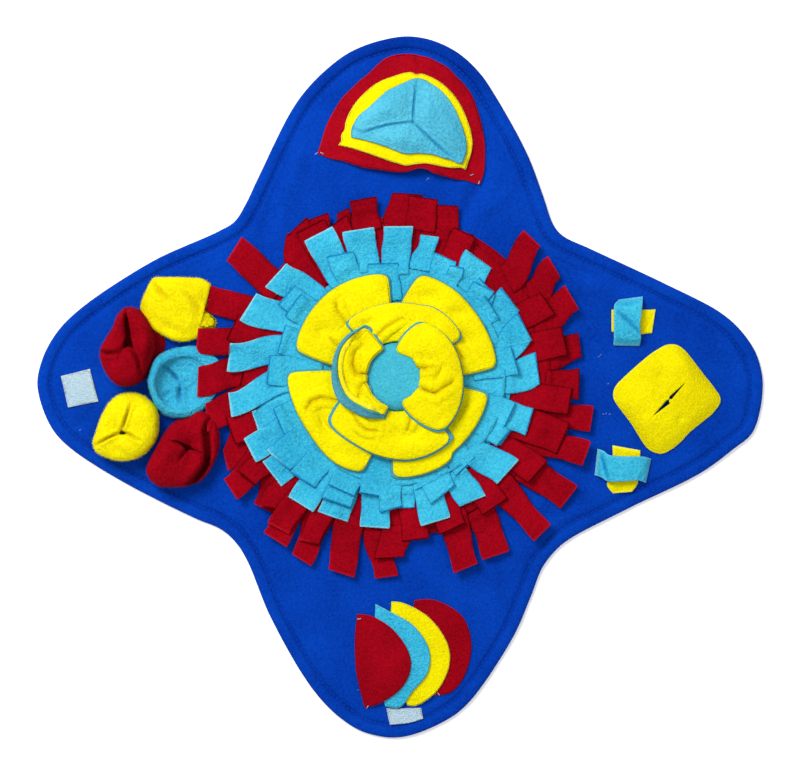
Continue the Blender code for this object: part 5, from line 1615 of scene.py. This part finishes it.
# %% Which faces are free
# Piece, cloth, what the names of its carriers start with, fibres per square metre, length.
PILES = (
    ("pile_yellow", "yellow", ("petal_", "pouch_", "flap_yellow", "fan_yellow"), 4.2e5, 1.1),
    ("pile_red", "red", ("fringe_red", "flap_red", "fan_red"), 2.6e5, 1.1),
    ("pile_cyan", "cyan", ("fringe_cyan", "flap_cyan", "fan_cyan"), 3.7e5, 1.1),
    ("pile_teal", "teal", ("flower_centre",), 6e5, 1.2),
    ("pile_blue", "blue", ("mat_cloth",), 8e4, 1.1),
    ("pile_pockets_yellow", "yellow", ("pocket_yellow",), 7e5, 1.8),
    ("pile_pockets_red", "red", ("pocket_red",), 7.5e5, 1.7),
    ("pile_pocket_cyan", "cyan", ("pocket_cyan",), 1.1e6, 1.6),
)
FREE_SPACE, FIBRE_THICK = 5 * MM, 0.16
clothes = [obj for obj in bpy.context.scene.objects if obj.type == "MESH" and "stitches" not in obj.name
           and obj.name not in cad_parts]


def corners_of(obj):
    """All points of a mesh, and its faces as triangles."""
    mesh = obj.data
    mesh.calc_loop_triangles()
    points = np.empty(len(mesh.vertices) * 3)
    mesh.vertices.foreach_get("co", points)
    faces = np.empty(len(mesh.loop_triangles) * 3, np.int32)
    mesh.loop_triangles.foreach_get("vertices", faces)
    return points.reshape(-1, 3), faces.reshape(-1, 3)


def as_one(meshes):
    """The points and the triangles of several meshes, as two plain lists."""
    starts = np.cumsum([0] + [len(points) for points, _ in meshes])
    points = np.concatenate([points for points, _ in meshes])
    faces = np.concatenate([faces + start for (_, faces), start in zip(meshes, starts)])
    return points.tolist(), faces.tolist()


solids = {obj.name: corners_of(obj) for obj in clothes}
everything = BVHTree.FromPolygons(*as_one(list(solids.values())))
print("cloths that may cover each other:", len(solids))


def free_faces(points, faces):
    """True for each face that looks up or sideways with nothing on it, by a short ray from it."""
    spans = points[faces]
    normals = np.cross(spans[:, 1] - spans[:, 0], spans[:, 2] - spans[:, 0])
    normals /= np.linalg.norm(normals, axis=1)[:, None] + 1e-20
    middles = spans.mean(axis=1) + normals * 0.2 * MM
    return np.array([normal[2] > -0.3 and everything.ray_cast(middle, normal, FREE_SPACE)[0] is None
                     for middle, normal in zip(middles.tolist(), normals.tolist())])


# %% Fibres of each colour
for name, colour, starts_with, density, length in PILES:
    carriers = [solids[key] for key in solids if key.startswith(starts_with) and "backing" not in key]
    points, faces = as_one([(points, faces[free_faces(points, faces)]) for points, faces in carriers])
    ground = bpy.data.meshes.new(name + "_ground")
    ground.from_pydata(points, [], faces)
    free_mask = ground.attributes.new("free", "FLOAT", "FACE")
    free_mask.data.foreach_set("value", np.ones(len(ground.polygons)))
    obj = grown(name, ground, pile, {
        "Per square metre": density, "Length": length * MM, "Thick": FIBRE_THICK * MM,
        "Lean": 1.1, "Seed": 11, "Cloth": CLOTHS[colour],
    })
    place(obj, colour + "_fleece")

# %% [markdown]
# ## Loose threads
# A few white bar tacks hold the fan and the flaps, and specks of white lint cling to the felt, as
# on any fleece toy. Each is a short bent tube swept along a few points.

# %% Bar tacks and lint
# Place, and the way each lies in degrees.
TACKS = ((-69.1, 192.9, 40), (-64.4, 192.9, -30), (65.1, 168.6, 75), (59.3, 174.9, 20), (-33.7, -191.1, 10),
         (-26.9, -263.9, 60), (31.9, -253.3, -50))
LINT = ((23.4, 172.3, 80), (22.4, 171.5, 20), (172.0, 2.6, 10), (170.2, -21.8, 60), (167.9, -22.4, -20),
        (173.2, -22.4, 35), (-34.7, -250.2, 0), (165.7, 26.5, 50), (164.1, 24.9, -40), (-264.4, -35.6, 15))


def thread(x, y, way_deg, length, width, rise):
    """A short tube over whatever lies at that place."""
    way = heading(way_deg)
    across = np.array([-way[1], way[0]])
    turns = np.arange(6) * math.pi / 3
    found = everything.ray_cast((x * MM, y * MM, 0.1), (0, 0, -1))[0]
    top = found[2] / MM if found else GROUND
    loops = []
    for share in np.linspace(-1, 1, 7):
        middle = np.array([x, y]) + way * share * length / 2
        thin = width / 2 * (1 - 0.5 * share**4)
        ring = middle + np.cos(turns)[:, None] * thin * across
        loops.append(with_height(ring, top + 0.2 + rise * (1 - share**2) + np.sin(turns) * thin))
    points, faces = skin(loops, loops[0].mean(axis=0), loops[-1].mean(axis=0))
    return points, faces, np.zeros(len(points))


# Name, places, length, width and rise of the middle.
for name, rows, length, width, rise in (("bar_tacks", TACKS, 3.2, 0.55, 0.4), ("lint", LINT, 1.7, 0.26, 0.5)):
    points, faces, _ = joined([thread(*row, length, width, rise) for row in rows])
    place(store(name, points, faces, "white"), "hook_and_loop")

# %% [markdown]
# ## Floor, light and camera
# The mat lies on a plain pale floor and is seen from straight above. A large soft lamp a little to
# the upper left gives each fold a shaded side, and a pale sky fills the shadows.

# %% Floor
FLOOR_HALF, FLOOR_DROP = 4.0, 0.4 * MM
floor_material, _ = shaded("pale_floor", {
    "Base Color": (0.93, 0.93, 0.93, 1.0), "Roughness": 0.9, "Specular IOR Level": 0.1,
    "Emission Color": (1.0, 1.0, 1.0, 1.0), "Emission Strength": 0.16,
})
quarters = ((-1, -1), (1, -1), (1, 1), (-1, 1))
floor_corners = [(x * FLOOR_HALF, y * FLOOR_HALF, -FLOOR_DROP) for x, y in quarters]
floor_mesh = bpy.data.meshes.new("floor")
floor_mesh.from_pydata(floor_corners, [], [(0, 1, 2, 3)])
floor_mesh.materials.append(floor_material)
put("floor", floor_mesh)
print("floor, m across:", 2 * FLOOR_HALF)

# %% Light


def lamp(name, size, energy, location):
    """A square soft lamp that looks at the middle of the mat."""
    data = bpy.data.lights.new(name, "AREA")
    data.size, data.energy = size, energy
    obj = put(name, data)
    obj.location = location
    obj.rotation_euler = (-Vector(location)).to_track_quat("-Z", "Y").to_euler()
    return obj


key_lamp = lamp("soft_key", 0.7, 34.0, (-0.75, 0.85, 1.55))
fill_lamp = lamp("overhead_fill", 1.6, 18.0, (0.25, -0.1, 2.4))
world = bpy.data.worlds.new("pale_sky")
world.use_nodes = True
sky = world.node_tree.nodes["Background"]
sky.inputs["Color"].default_value = (1.0, 1.0, 1.0, 1.0)
sky.inputs["Strength"].default_value = 0.40
bpy.context.scene.world = world
bpy.context.scene.view_settings.view_transform = "Standard"
bpy.context.scene.view_settings.look = "None"
print("lamps, W:", key_lamp.data.energy, fill_lamp.data.energy)

# %% Camera
camera_data = bpy.data.cameras.new("camera")
camera_data.lens, camera_data.sensor_width = 85.0, 36.0
camera_data.clip_start, camera_data.clip_end = 0.05, 20.0
camera = put("camera", camera_data)
camera.location = (0.0, 0.0004, 1.565)
bpy.context.scene.camera = camera
print("camera, m above the floor:", camera.location.z)
